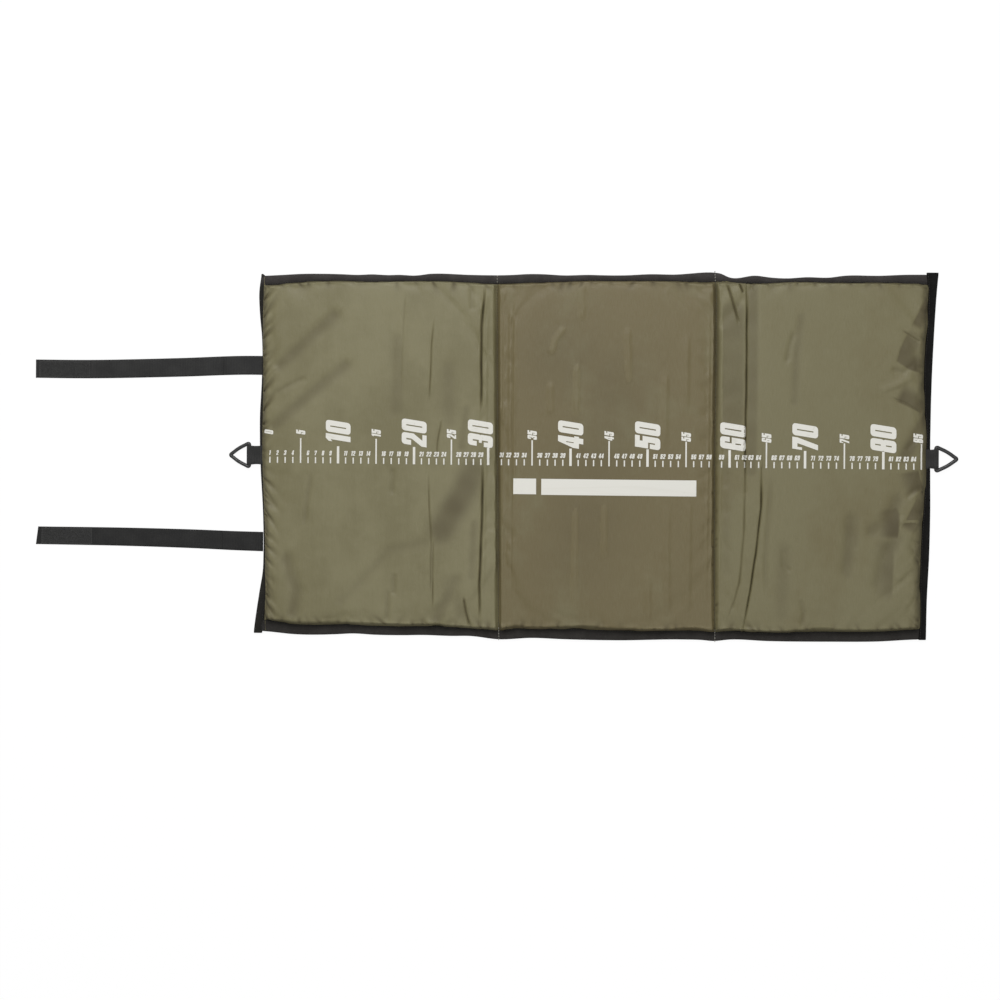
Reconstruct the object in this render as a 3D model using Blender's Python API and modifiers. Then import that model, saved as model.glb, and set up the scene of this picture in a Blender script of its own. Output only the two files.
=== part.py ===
"""Three-panel padded unhooking mat with a printed ruler face, two carrying straps and two peg rings.

The mat lies open. +X runs to the right end, +Y to the back edge, +Z up. The origin is the middle of the
underside of the padded body, on the surface that the mat lies on.
"""

import math

import bmesh
import bpy
from mathutils import Matrix, Vector

# Driving dimensions of the padded body
MAT_LENGTH = 0.880
MAT_WIDTH = 0.472
MAT_THICKNESS = 0.018
LEFT_FOLD_X = -0.141
LEFT_SEAM_X = -0.1225
RIGHT_FOLD_X = 0.160
CLEARANCE = 0.0003
PACKED_PLAY = 0.0008

# Cloth, wadding and binding
TOP_CLOTH = 0.0008
BASE_CLOTH = 0.0012
PAD_CLEARANCE = 0.0006
SEAM_LIP = 0.0030
EDGE_SLOPE = 0.026
FOLD_SLOPE = 0.018
DRAW_IN = 0.0030
CROWN_LOSS_SHARE = 0.08
ROLL_HEIGHT = 0.0065
BINDING_WIDTH = 0.012
BINDING_TAPE = 0.0010
BINDING_ROUND = 0.0007
BINDING_OVERHANG = 0.0015

# Carrying straps
STRAP_WIDTH = 0.025
STRAP_THICKNESS = 0.0010
STRAP_Y = 0.117
STRAP_REACH = 0.306
STRAP_FREE_ROOT = 0.022
HOOK_LENGTH = 0.070
HOOK_WIDTH = 0.022
HOOK_THICKNESS = 0.0008
HOOK_TIP_MARGIN = 0.004
LOOP_PATCH_LENGTH = 0.120
LOOP_PATCH_WIDTH = 0.025
LOOP_PATCH_THICKNESS = 0.0005
LOOP_PATCH_X = 0.005
WRAP_PLAY = 0.0011

# Peg rings and the webbing loops that hold them
RING_SIDE = 0.0340
RING_WIRE = 0.004
RING_CORNER_RADIUS = 0.0022
RING_TIP_RADIUS = 0.0035
LEFT_BAR_REACH = 0.0145
RIGHT_BAR_REACH = 0.005
LEFT_RING_Y = -0.0015
RIGHT_RING_Y = -0.0030
RING_LOOP_WIDTH = 0.0250
RING_LOOP_TAPE = 0.0012
RING_LOOP_TAIL = 0.0095
RING_LOOP_LEAD = 0.0005

# Seam threads
THREAD_DIAMETER = 0.0008
THREAD_INSET = 0.0015

# One overrun serves every cut
CUT_OVERRUN = 0.002

# Shares of a slope at which the cloth has a line of points, and counts of lines over each panel
RISE_SHARES = (0.0, 0.05, 0.16, 0.35, 0.62, 1.0)
ROLL_SHARES = (0.25, 0.5, 0.75)
BASE_RISE_SHARES = (0.0, 1.0)
PAD_FIRST_LINE_INDEX = 2
LINE_COUNT_ALONG = 6
LINE_COUNT_ACROSS = 9
BASE_LINE_COUNT = 2
ARC_STEPS = 5
ROUND_STEPS = 10
END_ROUND_STEPS = 4
END_ROUND_SHARE = 0.49

# Levels of the edge, from the floor up: strap or lower tape, base cloth, top cloth, upper tape
BASE_FLANGE_LOW = max(BINDING_TAPE, STRAP_THICKNESS) + CLEARANCE
BASE_FLANGE_TOP = BASE_FLANGE_LOW + BASE_CLOTH
TOP_FLANGE_LOW = BASE_FLANGE_TOP + CLEARANCE
TOP_FLANGE_TOP = TOP_FLANGE_LOW + TOP_CLOTH
UPPER_TAPE_LOW = TOP_FLANGE_TOP + CLEARANCE
BINDING_HEIGHT = UPPER_TAPE_LOW + BINDING_TAPE

# Outline of the body and of the cloth inside its binding
HALF_LENGTH = MAT_LENGTH / 2
HALF_WIDTH = MAT_WIDTH / 2
CLOTH_END = HALF_LENGTH - BINDING_TAPE - CLEARANCE
CLOTH_SIDE = HALF_WIDTH - BINDING_TAPE - CLEARANCE
SWELL_END = HALF_LENGTH - BINDING_WIDTH - CLEARANCE
SWELL_SIDE = HALF_WIDTH - BINDING_WIDTH - CLEARANCE

# Heights of the two fold lines: the right panel turns onto the middle one, the left panel onto both
RIGHT_FOLD_Z = MAT_THICKNESS + PACKED_PLAY / 2
LEFT_FOLD_Z = (3 * MAT_THICKNESS + 2 * PACKED_PLAY) / 2

# Strap hinge lines and ring bars
STRAP_BEND_X = -HALF_LENGTH - STRAP_FREE_ROOT
STRAP_SIDE_LENGTH = 2 * LEFT_FOLD_Z + CLEARANCE + HOOK_THICKNESS + WRAP_PLAY
STRAP_WRAP_X = STRAP_BEND_X - STRAP_SIDE_LENGTH
STRAP_TIP_X = -HALF_LENGTH - STRAP_REACH
RING_LOOP_RADIUS = RING_WIRE / 2 + CLEARANCE + RING_LOOP_TAPE / 2
BAR_Z = RING_LOOP_RADIUS + RING_LOOP_TAPE / 2 + CLEARANCE

for old in list(bpy.data.objects):
    bpy.data.objects.remove(old, do_unlink=True)
for old in list(bpy.data.collections):
    bpy.data.collections.remove(old)
PARTS = bpy.data.collections.new("unhooking_mat")
CUTTERS = bpy.data.collections.new("cutters")
bpy.context.scene.collection.children.link(PARTS)
bpy.context.scene.collection.children.link(CUTTERS)


def finish(name, colour, roughness, metallic=0.0):
    """A Principled material of one colour."""
    material = bpy.data.materials.new(name)
    material.use_nodes = True
    shader = material.node_tree.nodes["Principled BSDF"]
    shader.inputs["Base Color"].default_value = (*colour, 1.0)
    shader.inputs["Roughness"].default_value = roughness
    shader.inputs["Metallic"].default_value = metallic
    return material


def pivot(name, x, z, parent=None):
    """An empty on a hinge line, which the pieces of a moving body hang on."""
    empty = bpy.data.objects.new(name, None)
    PARTS.objects.link(empty)
    place = Vector((x, 0.0, z))
    empty["at"] = tuple(place)
    if parent is not None:
        empty.parent = parent
        place = place - Vector(parent["at"])
    empty.location = place
    return empty


def piece(name, mesh, colour, roughness, body=None, metallic=0.0):
    """One named part, its mesh in the mat's frame, hung on the pivot of its body."""
    obj = bpy.data.objects.new(name, mesh)
    mesh.materials.append(finish(name, colour, roughness, metallic))
    PARTS.objects.link(obj)
    if body is not None:
        obj.parent = body
        obj.location = -Vector(body["at"])
    return obj


def box_mesh(name, low, high):
    """A box between two corners."""
    low, high = Vector(low), Vector(high)
    bm = bmesh.new()
    bmesh.ops.create_cube(bm, size=1.0)
    bmesh.ops.scale(bm, vec=high - low, verts=bm.verts)
    bmesh.ops.translate(bm, vec=(low + high) / 2, verts=bm.verts)
    mesh = bpy.data.meshes.new(name)
    bm.to_mesh(mesh)
    bm.free()
    return mesh


def cut(obj, name, low, high):
    """Cuts a box out of a part."""
    cutter = bpy.data.objects.new(name, box_mesh(name, low, high))
    cutter.display_type = "WIRE"
    cutter.hide_render = True
    CUTTERS.objects.link(cutter)
    if obj.parent is not None:
        cutter.parent = obj.parent
        cutter.location = obj.location
    modifier = obj.modifiers.new(name, "BOOLEAN")
    modifier.operation = "DIFFERENCE"
    modifier.solver = "EXACT"
    modifier.object = cutter


def mesh_of_curve(name, curve, matrix):
    """The welded mesh of a curve, moved into the mat's frame."""
    holder = bpy.data.objects.new(name, curve)
    PARTS.objects.link(holder)
    bpy.context.view_layer.update()
    mesh = bpy.data.meshes.new_from_object(holder.evaluated_get(bpy.context.evaluated_depsgraph_get()))
    bpy.data.objects.remove(holder, do_unlink=True)
    bm = bmesh.new()
    bm.from_mesh(mesh)
    bmesh.ops.remove_doubles(bm, verts=bm.verts, dist=CLEARANCE / 10)
    bmesh.ops.transform(bm, matrix=matrix, verts=bm.verts)
    bm.to_mesh(mesh)
    bm.free()
    mesh.name = name
    return mesh


def extruded(name, outline, length, matrix):
    """A flat outline in its own XY plane, extruded by half the length each way along its Z."""
    curve = bpy.data.curves.new(name, "CURVE")
    curve.dimensions = "2D"
    curve.fill_mode = "BOTH"
    curve.extrude = length / 2
    spline = curve.splines.new("POLY")
    spline.points.add(len(outline) - 1)
    for point, (u, v) in zip(spline.points, outline):
        point.co = (u, v, 0.0, 1.0)
    spline.use_cyclic_u = True
    return mesh_of_curve(name, curve, matrix)


def tube(name, points, diameter, closed):
    """A round wire or thread along a run of points."""
    curve = bpy.data.curves.new(name, "CURVE")
    curve.dimensions = "3D"
    curve.bevel_depth = diameter / 2
    curve.bevel_resolution = 3 if closed else 1
    curve.use_fill_caps = True
    spline = curve.splines.new("POLY")
    spline.points.add(len(points) - 1)
    for point, place in zip(spline.points, points):
        point.co = (*place, 1.0)
    spline.use_cyclic_u = closed
    return mesh_of_curve(name, curve, Matrix.Identity(4))


def arc(centre, radius, start, end, steps):
    """Points along a round stretch, from one angle to another."""
    turn = (end - start) / steps
    return [
        (centre[0] + radius * math.cos(start + turn * step), centre[1] + radius * math.sin(start + turn * step))
        for step in range(steps + 1)
    ]


def grid_between(name, columns, rows, upper, lower, level_base=False):
    """A closed sheet or pad on a grid of lines, between an upper and a lower height over the floor."""
    bm = bmesh.new()
    across, along = len(columns) - 1, len(rows) - 1
    bmesh.ops.create_grid(bm, x_segments=across, y_segments=along, size=1.0)
    for vert in bm.verts:
        x = columns[round((vert.co.x + 1) / 2 * across)]
        y = rows[round((vert.co.y + 1) / 2 * along)]
        vert.co = (x, y, upper(x, y))
    made = bmesh.ops.extrude_face_region(bm, geom=bm.faces[:], use_keep_orig=True)["geom"]
    under = [part for part in made if isinstance(part, bmesh.types.BMVert)]
    for vert in under:
        vert.co.z = lower(vert.co.x, vert.co.y)
    if level_base:
        floor_faces = [part for part in made if isinstance(part, bmesh.types.BMFace)]
        bmesh.ops.dissolve_faces(bm, faces=floor_faces, use_verts=False)
    bmesh.ops.recalc_face_normals(bm, faces=bm.faces)
    mesh = bpy.data.meshes.new(name)
    bm.to_mesh(mesh)
    bm.free()
    mesh.shade_smooth()
    mesh.set_sharp_from_angle(angle=math.radians(60))
    return mesh


def rise(distance, slope):
    """How far up the cloth has swollen at a distance from its seam, from 0 to 1 in a quarter round."""
    left = 1 - min(max(distance / slope, 0.0), 1.0)
    return math.sqrt(1 - left * left)


def bow(place, low, high):
    """1 halfway between two ends and 0 at both."""
    share = (2 * place - low - high) / (high - low)
    return max(1 - share * share, 0.0)


def lines(low, high, low_slope, high_slope, inner, shares=RISE_SHARES):
    """Grid lines from one seam to the other: close together on both slopes, even between them."""
    start = [low + low_slope * share for share in shares]
    finish_line = [high - high_slope * share for share in reversed(shares)]
    step = (finish_line[0] - start[-1]) / (inner + 1)
    return start + [start[-1] + step * (count + 1) for count in range(inner)] + finish_line


# Where each panel's cloth starts and ends, where its swelling starts and ends, and how long its slopes are
PANELS = {
    "left": {
        "cloth": (-CLOTH_END, LEFT_FOLD_X - CLEARANCE),
        "swell": (-SWELL_END, LEFT_FOLD_X - CLEARANCE - SEAM_LIP),
        "slopes": (EDGE_SLOPE, FOLD_SLOPE),
    },
    "middle": {
        "cloth": (LEFT_FOLD_X + CLEARANCE, RIGHT_FOLD_X - CLEARANCE),
        "swell": (LEFT_SEAM_X + SEAM_LIP / 2, RIGHT_FOLD_X - CLEARANCE - SEAM_LIP),
        "slopes": (FOLD_SLOPE, FOLD_SLOPE),
    },
    "right": {
        "cloth": (RIGHT_FOLD_X + CLEARANCE, CLOTH_END),
        "swell": (RIGHT_FOLD_X + CLEARANCE + SEAM_LIP, SWELL_END),
        "slopes": (FOLD_SLOPE, EDGE_SLOPE),
    },
}
ROLL_LOW = LEFT_FOLD_X + CLEARANCE + SEAM_LIP / 2
ROLL_HIGH = LEFT_SEAM_X - SEAM_LIP / 2
SWELL_ROWS = lines(-SWELL_SIDE, SWELL_SIDE, EDGE_SLOPE, EDGE_SLOPE, LINE_COUNT_ACROSS)
ROWS = [-CLOTH_SIDE, *SWELL_ROWS, CLOTH_SIDE]
BASE_ROWS = [-CLOTH_SIDE]
BASE_ROWS += lines(-SWELL_SIDE, SWELL_SIDE, SEAM_LIP, SEAM_LIP, BASE_LINE_COUNT, BASE_RISE_SHARES)
BASE_ROWS += [CLOTH_SIDE]


def swelling(panel, x, y):
    """How full the pad stands at a place, from 0 at its seams to 1 at its crown, its sides drawn in."""
    low, high = panel["swell"]
    low_slope, high_slope = panel["slopes"]
    side = SWELL_SIDE - abs(y) - DRAW_IN * bow(x, low, high)
    pull = DRAW_IN * bow(y, -SWELL_SIDE, SWELL_SIDE)
    low_pull = pull if panel is PANELS["left"] else 0.0
    high_pull = pull if panel is PANELS["right"] else 0.0
    across = rise(side, EDGE_SLOPE)
    along = rise(x - low - low_pull, low_slope) * rise(high - x - high_pull, high_slope)
    crown = 1 - CROWN_LOSS_SHARE * (1 - bow(x, low, high) * bow(y, -SWELL_SIDE, SWELL_SIDE))
    return across * along * crown


def top_height(panel, x, y):
    """The upper face of a panel's top cover over the floor."""
    height = TOP_FLANGE_TOP + (MAT_THICKNESS - TOP_FLANGE_TOP) * swelling(panel, x, y)
    if panel is PANELS["middle"] and ROLL_LOW < x < ROLL_HIGH:
        puff = math.sin(math.pi * (x - ROLL_LOW) / (ROLL_HIGH - ROLL_LOW))
        height += ROLL_HEIGHT * puff * rise(SWELL_SIDE - abs(y), EDGE_SLOPE)
    return height


def base_lift(panel, x, y):
    """How far a base cover is lifted off the floor: at its seams only."""
    low, high = panel["swell"]
    inside = min(x - low, high - x, SWELL_SIDE - abs(y))
    return BASE_FLANGE_LOW if inside < SEAM_LIP / 2 else 0.0


def tape_outline():
    """The section of the folded binding tape: x runs in from the outer edge, y up."""
    corner = BINDING_ROUND
    bottom = arc((corner, corner), corner, math.pi * 1.5, math.pi, END_ROUND_STEPS)
    top = arc((corner, BINDING_HEIGHT - corner), corner, math.pi, math.pi / 2, END_ROUND_STEPS)
    return [
        (BINDING_WIDTH, 0.0),
        *bottom,
        *top,
        (BINDING_WIDTH, BINDING_HEIGHT),
        (BINDING_WIDTH, UPPER_TAPE_LOW),
        (BINDING_TAPE, UPPER_TAPE_LOW),
        (BINDING_TAPE, BINDING_TAPE),
        (BINDING_WIDTH, BINDING_TAPE),
    ]


def side_binding(name, low, high, side, body):
    """A length of binding along the back (side 1) or front (side -1) edge."""
    axes = Matrix(((0, 0, 1), (-side, 0, 0), (0, 1, 0))).to_4x4()
    middle = Matrix.Translation(((low + high) / 2, side * HALF_WIDTH, 0.0))
    mesh = extruded(name, tape_outline(), high - low, middle @ axes)
    return piece(name, face_out(mesh), TAPE_COLOUR, TAPE_ROUGHNESS, body)


def end_binding(name, side, body):
    """The binding across the right (side 1) or left (side -1) end, standing past both long edges."""
    axes = Matrix(((-side, 0, 0), (0, 0, 1), (0, 1, 0))).to_4x4()
    middle = Matrix.Translation((side * HALF_LENGTH, 0.0, 0.0))
    length = MAT_WIDTH + 2 * BINDING_OVERHANG
    mesh = extruded(name, tape_outline(), length, middle @ axes)
    return piece(name, face_out(mesh), TAPE_COLOUR, TAPE_ROUGHNESS, body)


def face_out(mesh):
    """Turns every face of a closed mesh outwards."""
    bm = bmesh.new()
    bm.from_mesh(mesh)
    bmesh.ops.recalc_face_normals(bm, faces=bm.faces)
    bm.to_mesh(mesh)
    bm.free()
    return mesh


# Colours, as the photograph shows the cloth, the tapes and the plated wire
CLOTH_COLOUR = (0.20, 0.18, 0.11)
BASE_COLOUR = (0.17, 0.155, 0.095)
FOAM_COLOUR = (0.72, 0.72, 0.70)
TAPE_COLOUR = (0.028, 0.026, 0.024)
STRAP_COLOUR = (0.038, 0.038, 0.038)
PATCH_COLOUR = (0.020, 0.020, 0.020)
RING_COLOUR = (0.015, 0.015, 0.016)
THREAD_COLOUR = (0.30, 0.28, 0.20)
CLOTH_ROUGHNESS = 0.55
FOAM_ROUGHNESS = 0.80
TAPE_ROUGHNESS = 0.75
PATCH_ROUGHNESS = 0.95
RING_ROUGHNESS = 0.35

# Pivots: the two fold lines, the ring bars, and the two bends of each strap
left_fold = pivot("left_fold_line", LEFT_FOLD_X, LEFT_FOLD_Z)
right_fold = pivot("right_fold_line", RIGHT_FOLD_X, RIGHT_FOLD_Z)
left_bar = pivot("left_ring_bar", -HALF_LENGTH - LEFT_BAR_REACH, BAR_Z, left_fold)
right_bar = pivot("right_ring_bar", HALF_LENGTH + RIGHT_BAR_REACH, BAR_Z, right_fold)
BODIES = {"left": left_fold, "middle": None, "right": right_fold}


def make_panel(side, panel):
    """The pad, the two covers and the long bindings of one panel."""
    body = BODIES[side]
    low, high = panel["cloth"]
    swell_low, swell_high = panel["swell"]
    slope_lines = lines(swell_low, swell_high, *panel["slopes"], LINE_COUNT_ALONG)
    roll_lines = []
    base_roll = []
    if side == "middle":
        roll_lines = [ROLL_LOW, *[ROLL_LOW + (ROLL_HIGH - ROLL_LOW) * s for s in ROLL_SHARES], ROLL_HIGH]
        base_roll = [LEFT_SEAM_X - SEAM_LIP / 2]

    columns = [low, *roll_lines, *slope_lines, high]
    mesh = grid_between(
        side + "_top_cover",
        columns,
        ROWS,
        lambda x, y: top_height(panel, x, y),
        lambda x, y: top_height(panel, x, y) - TOP_CLOTH,
    )
    piece(side + "_top_cover", mesh, CLOTH_COLOUR, CLOTH_ROUGHNESS, body)

    base_lines = lines(swell_low, swell_high, SEAM_LIP, SEAM_LIP, BASE_LINE_COUNT, BASE_RISE_SHARES)
    mesh = grid_between(
        side + "_base_cover",
        [low, *base_roll, *base_lines, high],
        BASE_ROWS,
        lambda x, y: base_lift(panel, x, y) + BASE_CLOTH,
        lambda x, y: base_lift(panel, x, y),
    )
    base = piece(side + "_base_cover", mesh, BASE_COLOUR, CLOTH_ROUGHNESS, body)

    mesh = grid_between(
        side + "_foam_pad",
        slope_lines[PAD_FIRST_LINE_INDEX:-PAD_FIRST_LINE_INDEX],
        ROWS[PAD_FIRST_LINE_INDEX + 1 : -PAD_FIRST_LINE_INDEX - 1],
        lambda x, y: top_height(panel, x, y) - TOP_CLOTH - PAD_CLEARANCE,
        lambda x, y: BASE_CLOTH + CLEARANCE,
        level_base=True,
    )
    piece(side + "_foam_pad", mesh, FOAM_COLOUR, FOAM_ROUGHNESS, body)

    tape_low = max(low, -HALF_LENGTH + BINDING_WIDTH + CLEARANCE)
    tape_high = min(high, HALF_LENGTH - BINDING_WIDTH - CLEARANCE)
    side_binding(side + "_back_binding", tape_low, tape_high, 1, body)
    side_binding(side + "_front_binding", tape_low, tape_high, -1, body)
    return base


bases = {side: make_panel(side, panel) for side, panel in PANELS.items()}
left_end = end_binding("left_end_binding", -1, left_fold)
end_binding("right_end_binding", 1, right_fold)


def strap_box(name, low_x, high_x, y, round_end):
    """A flat length of webbing on the floor, its moving end rounded about the hinge line."""
    mesh = box_mesh(name, (low_x, y - STRAP_WIDTH / 2, 0.0), (high_x, y + STRAP_WIDTH / 2, STRAP_THICKNESS))
    if round_end:
        bm = bmesh.new()
        bm.from_mesh(mesh)
        edges = [edge for edge in bm.edges if all(abs(v.co.x - high_x) < CLEARANCE for v in edge.verts)]
        edges = [edge for edge in edges if abs(edge.verts[0].co.y - edge.verts[1].co.y) > CLEARANCE]
        bmesh.ops.bevel(
            bm,
            geom=edges,
            offset=STRAP_THICKNESS * END_ROUND_SHARE,
            affect="EDGES",
            segments=END_ROUND_STEPS,
            profile=0.5,
            material=-1,
        )
        bm.to_mesh(mesh)
        bm.free()
    return mesh


def make_strap(side, y):
    """One carrying strap: sewn root, the length that comes up the side of the pack, and the end."""
    bend = pivot(side + "_strap_bend", STRAP_BEND_X, STRAP_THICKNESS / 2, left_fold)
    wrap = pivot(side + "_strap_wrap", STRAP_WRAP_X, STRAP_THICKNESS / 2, bend)
    half = STRAP_THICKNESS / 2
    root_end = -HALF_LENGTH + BINDING_WIDTH
    name = side + "_strap_anchor"
    mesh = strap_box(name, STRAP_BEND_X + half + CLEARANCE, root_end, y, False)
    piece(name, mesh, STRAP_COLOUR, TAPE_ROUGHNESS, left_fold)
    notch_half = STRAP_WIDTH / 2 + CLEARANCE
    cut(
        left_end,
        side + "_strap_notch",
        (-HALF_LENGTH - CUT_OVERRUN, y - notch_half, -CUT_OVERRUN),
        (root_end + CUT_OVERRUN, y + notch_half, BASE_FLANGE_LOW),
    )
    name = side + "_strap_side"
    mesh = strap_box(name, STRAP_WRAP_X + half + CLEARANCE, STRAP_BEND_X + half, y, True)
    piece(name, mesh, STRAP_COLOUR, TAPE_ROUGHNESS, bend)
    name = side + "_strap_end"
    mesh = strap_box(name, STRAP_TIP_X, STRAP_WRAP_X + half, y, True)
    piece(name, mesh, STRAP_COLOUR, TAPE_ROUGHNESS, wrap)

    name = side + "_hook_patch"
    tip = STRAP_TIP_X + HOOK_TIP_MARGIN
    floor_of_patch = STRAP_THICKNESS + CLEARANCE
    mesh = box_mesh(
        name,
        (tip, y - HOOK_WIDTH / 2, floor_of_patch),
        (tip + HOOK_LENGTH, y + HOOK_WIDTH / 2, floor_of_patch + HOOK_THICKNESS),
    )
    piece(name, mesh, PATCH_COLOUR, PATCH_ROUGHNESS, wrap)

    name = side + "_loop_patch"
    half_x, half_y = LOOP_PATCH_LENGTH / 2, LOOP_PATCH_WIDTH / 2
    mesh = box_mesh(
        name,
        (LOOP_PATCH_X - half_x, y - half_y, 0.0),
        (LOOP_PATCH_X + half_x, y + half_y, LOOP_PATCH_THICKNESS),
    )
    piece(name, mesh, PATCH_COLOUR, PATCH_ROUGHNESS)
    cut(
        bases["middle"],
        side + "_patch_recess",
        (LOOP_PATCH_X - half_x - CLEARANCE, y - half_y - CLEARANCE, -CUT_OVERRUN),
        (LOOP_PATCH_X + half_x + CLEARANCE, y + half_y + CLEARANCE, LOOP_PATCH_THICKNESS + CLEARANCE),
    )


make_strap("back", STRAP_Y)
make_strap("front", -STRAP_Y)


def rounded(corners, radii):
    """A closed outline through sharp corners, each rounded to its radius."""
    outline = []
    for index, (corner, radius) in enumerate(zip(corners, radii)):
        back = (Vector(corners[index - 1]) - Vector(corner)).normalized()
        ahead = (Vector(corners[(index + 1) % len(corners)]) - Vector(corner)).normalized()
        half_angle = back.angle(ahead) / 2
        centre = Vector(corner) + (back + ahead).normalized() * radius / math.sin(half_angle)
        start = Vector(corner) + back * radius / math.tan(half_angle) - centre
        end = Vector(corner) + ahead * radius / math.tan(half_angle) - centre
        turn = start.angle_signed(end)
        for step in range(ARC_STEPS + 1):
            outline.append(centre + Matrix.Rotation(-turn * step / ARC_STEPS, 2) @ start)
    return outline


def make_ring(side, sign, bar_x, y, bar_body, panel_body):
    """A three-cornered wire ring and the folded webbing that holds its bar to the end binding."""
    tip = RING_SIDE * math.sqrt(3) / 2
    corners = [(bar_x, y - RING_SIDE / 2), (bar_x, y + RING_SIDE / 2), (bar_x + sign * tip, y)]
    outline = rounded(corners, (RING_CORNER_RADIUS, RING_CORNER_RADIUS, RING_TIP_RADIUS))
    mesh = tube(side + "_ring", [(point.x, point.y, BAR_Z) for point in outline], RING_WIRE, True)
    mesh.shade_smooth()
    piece(side + "_ring", face_out(mesh), RING_COLOUR, RING_ROUGHNESS, bar_body, 0.6)

    lower = BINDING_HEIGHT + CLEARANCE + RING_LOOP_TAPE / 2
    upper = lower + RING_LOOP_TAPE + CLEARANCE
    edge = HALF_LENGTH + RING_LOOP_LEAD
    tail = HALF_LENGTH - RING_LOOP_TAIL
    centre = Vector((abs(bar_x), BAR_Z))
    reach = Vector((edge, lower)) - centre
    start = math.atan2(reach.y, reach.x) + math.acos(RING_LOOP_RADIUS / reach.length)
    reach = Vector((edge, upper)) - centre
    end = math.atan2(reach.y, reach.x) - math.acos(RING_LOOP_RADIUS / reach.length) + 2 * math.pi
    path = [(tail, lower), (edge, lower)]
    path += arc(centre, RING_LOOP_RADIUS, start, end, ROUND_STEPS)
    path += [(edge, upper), (tail, upper)]
    bm = bmesh.new()
    verts = [bm.verts.new((sign * x, y - RING_LOOP_WIDTH / 2, z)) for x, z in path]
    edges = [bm.edges.new(pair) for pair in zip(verts, verts[1:])]
    made = bmesh.ops.extrude_edge_only(bm, edges=edges)["geom"]
    moved = [part for part in made if isinstance(part, bmesh.types.BMVert)]
    bmesh.ops.translate(bm, vec=(0.0, RING_LOOP_WIDTH, 0.0), verts=moved)
    name = side + "_ring_loop"
    mesh = bpy.data.meshes.new(name)
    bm.to_mesh(mesh)
    bm.free()
    obj = piece(name, mesh, TAPE_COLOUR, TAPE_ROUGHNESS, panel_body)
    wall = obj.modifiers.new("webbing", "SOLIDIFY")
    wall.thickness = RING_LOOP_TAPE
    wall.offset = 0.0
    wall.use_even_offset = True


make_ring("left", -1, -HALF_LENGTH - LEFT_BAR_REACH, LEFT_RING_Y, left_bar, left_fold)
make_ring("right", 1, HALF_LENGTH + RIGHT_BAR_REACH, RIGHT_RING_Y, right_bar, right_fold)


def make_thread(name, x):
    """The seam thread, in the valley between two pads and over the binding at both ends."""
    radius = THREAD_DIAMETER / 2
    valley = TOP_FLANGE_TOP + CLEARANCE + radius
    over = BINDING_HEIGHT + CLEARANCE + radius
    inner = SWELL_SIDE - SEAM_LIP
    points = [(x, inner, valley), (x, SWELL_SIDE, over), (x, HALF_WIDTH, over)]
    points = [(x, -y, z) for x, y, z in reversed(points)] + points
    mesh = tube(name, points, THREAD_DIAMETER, False)
    piece(name, face_out(mesh), THREAD_COLOUR, TAPE_ROUGHNESS)


make_thread("left_fold_thread", LEFT_SEAM_X)
make_thread("right_fold_thread", RIGHT_FOLD_X - THREAD_INSET)
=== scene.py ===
import math

import bmesh
import bpy
import numpy as np
from mathutils import Matrix, Vector
from mathutils.bvhtree import BVHTree


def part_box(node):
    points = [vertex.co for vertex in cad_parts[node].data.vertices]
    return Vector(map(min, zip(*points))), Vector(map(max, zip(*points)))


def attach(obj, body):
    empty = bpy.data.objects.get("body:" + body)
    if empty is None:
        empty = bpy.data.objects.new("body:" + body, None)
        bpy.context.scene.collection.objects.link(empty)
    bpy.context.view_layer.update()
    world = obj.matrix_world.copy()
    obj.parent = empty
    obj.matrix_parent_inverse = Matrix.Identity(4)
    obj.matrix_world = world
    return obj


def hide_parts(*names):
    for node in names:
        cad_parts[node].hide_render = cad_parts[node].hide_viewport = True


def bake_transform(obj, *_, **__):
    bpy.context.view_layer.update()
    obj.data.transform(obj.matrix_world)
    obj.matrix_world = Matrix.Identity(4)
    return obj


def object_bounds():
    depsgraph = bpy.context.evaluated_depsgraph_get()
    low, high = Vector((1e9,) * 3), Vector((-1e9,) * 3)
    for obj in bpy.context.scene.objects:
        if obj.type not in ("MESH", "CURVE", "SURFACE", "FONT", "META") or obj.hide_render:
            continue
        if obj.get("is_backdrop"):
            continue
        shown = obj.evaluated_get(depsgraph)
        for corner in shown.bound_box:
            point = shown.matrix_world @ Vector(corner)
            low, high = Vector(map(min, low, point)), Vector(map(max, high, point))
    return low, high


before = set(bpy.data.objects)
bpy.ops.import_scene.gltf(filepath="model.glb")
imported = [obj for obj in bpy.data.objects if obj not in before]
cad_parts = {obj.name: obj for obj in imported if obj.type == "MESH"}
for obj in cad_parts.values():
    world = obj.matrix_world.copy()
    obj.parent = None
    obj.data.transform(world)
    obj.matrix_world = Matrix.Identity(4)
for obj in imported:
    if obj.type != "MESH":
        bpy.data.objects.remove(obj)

# The open mat as the frame gives it, in plain solids, before any cloth is laid on it. The box round them is
# kept, to compare the dressed mat with it at the end.
solid_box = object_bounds()
scene = bpy.context.scene

# The camera stands over the mat, far off, a little to the right of the point it looks at and turned a hair
# about its own line of sight, as the photograph's outline shows.
CAMERA_LENS = 68.76
CAMERA_SENSOR = 36.0
CAMERA_AIM = Vector((-0.1185, -0.0594, 0.0175))
CAMERA_DISTANCE = 2.5
CAMERA_TILT = math.asin(0.0825)
CAMERA_ROLL = 0.00615

camera = bpy.data.objects.new("camera", bpy.data.cameras.new("camera"))
scene.collection.objects.link(camera)
camera.data.lens = CAMERA_LENS
camera.data.sensor_width = CAMERA_SENSOR
camera.data.sensor_fit = "HORIZONTAL"
turned = Matrix.Rotation(CAMERA_TILT, 4, "Y") @ Matrix.Rotation(CAMERA_ROLL, 4, "Z")
line_of_sight = turned.to_3x3() @ Vector((0.0, 0.0, -1.0))
camera.matrix_world = Matrix.Translation(CAMERA_AIM - line_of_sight * CAMERA_DISTANCE) @ turned
scene.camera = camera
scene.view_settings.view_transform = "Standard"


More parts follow.
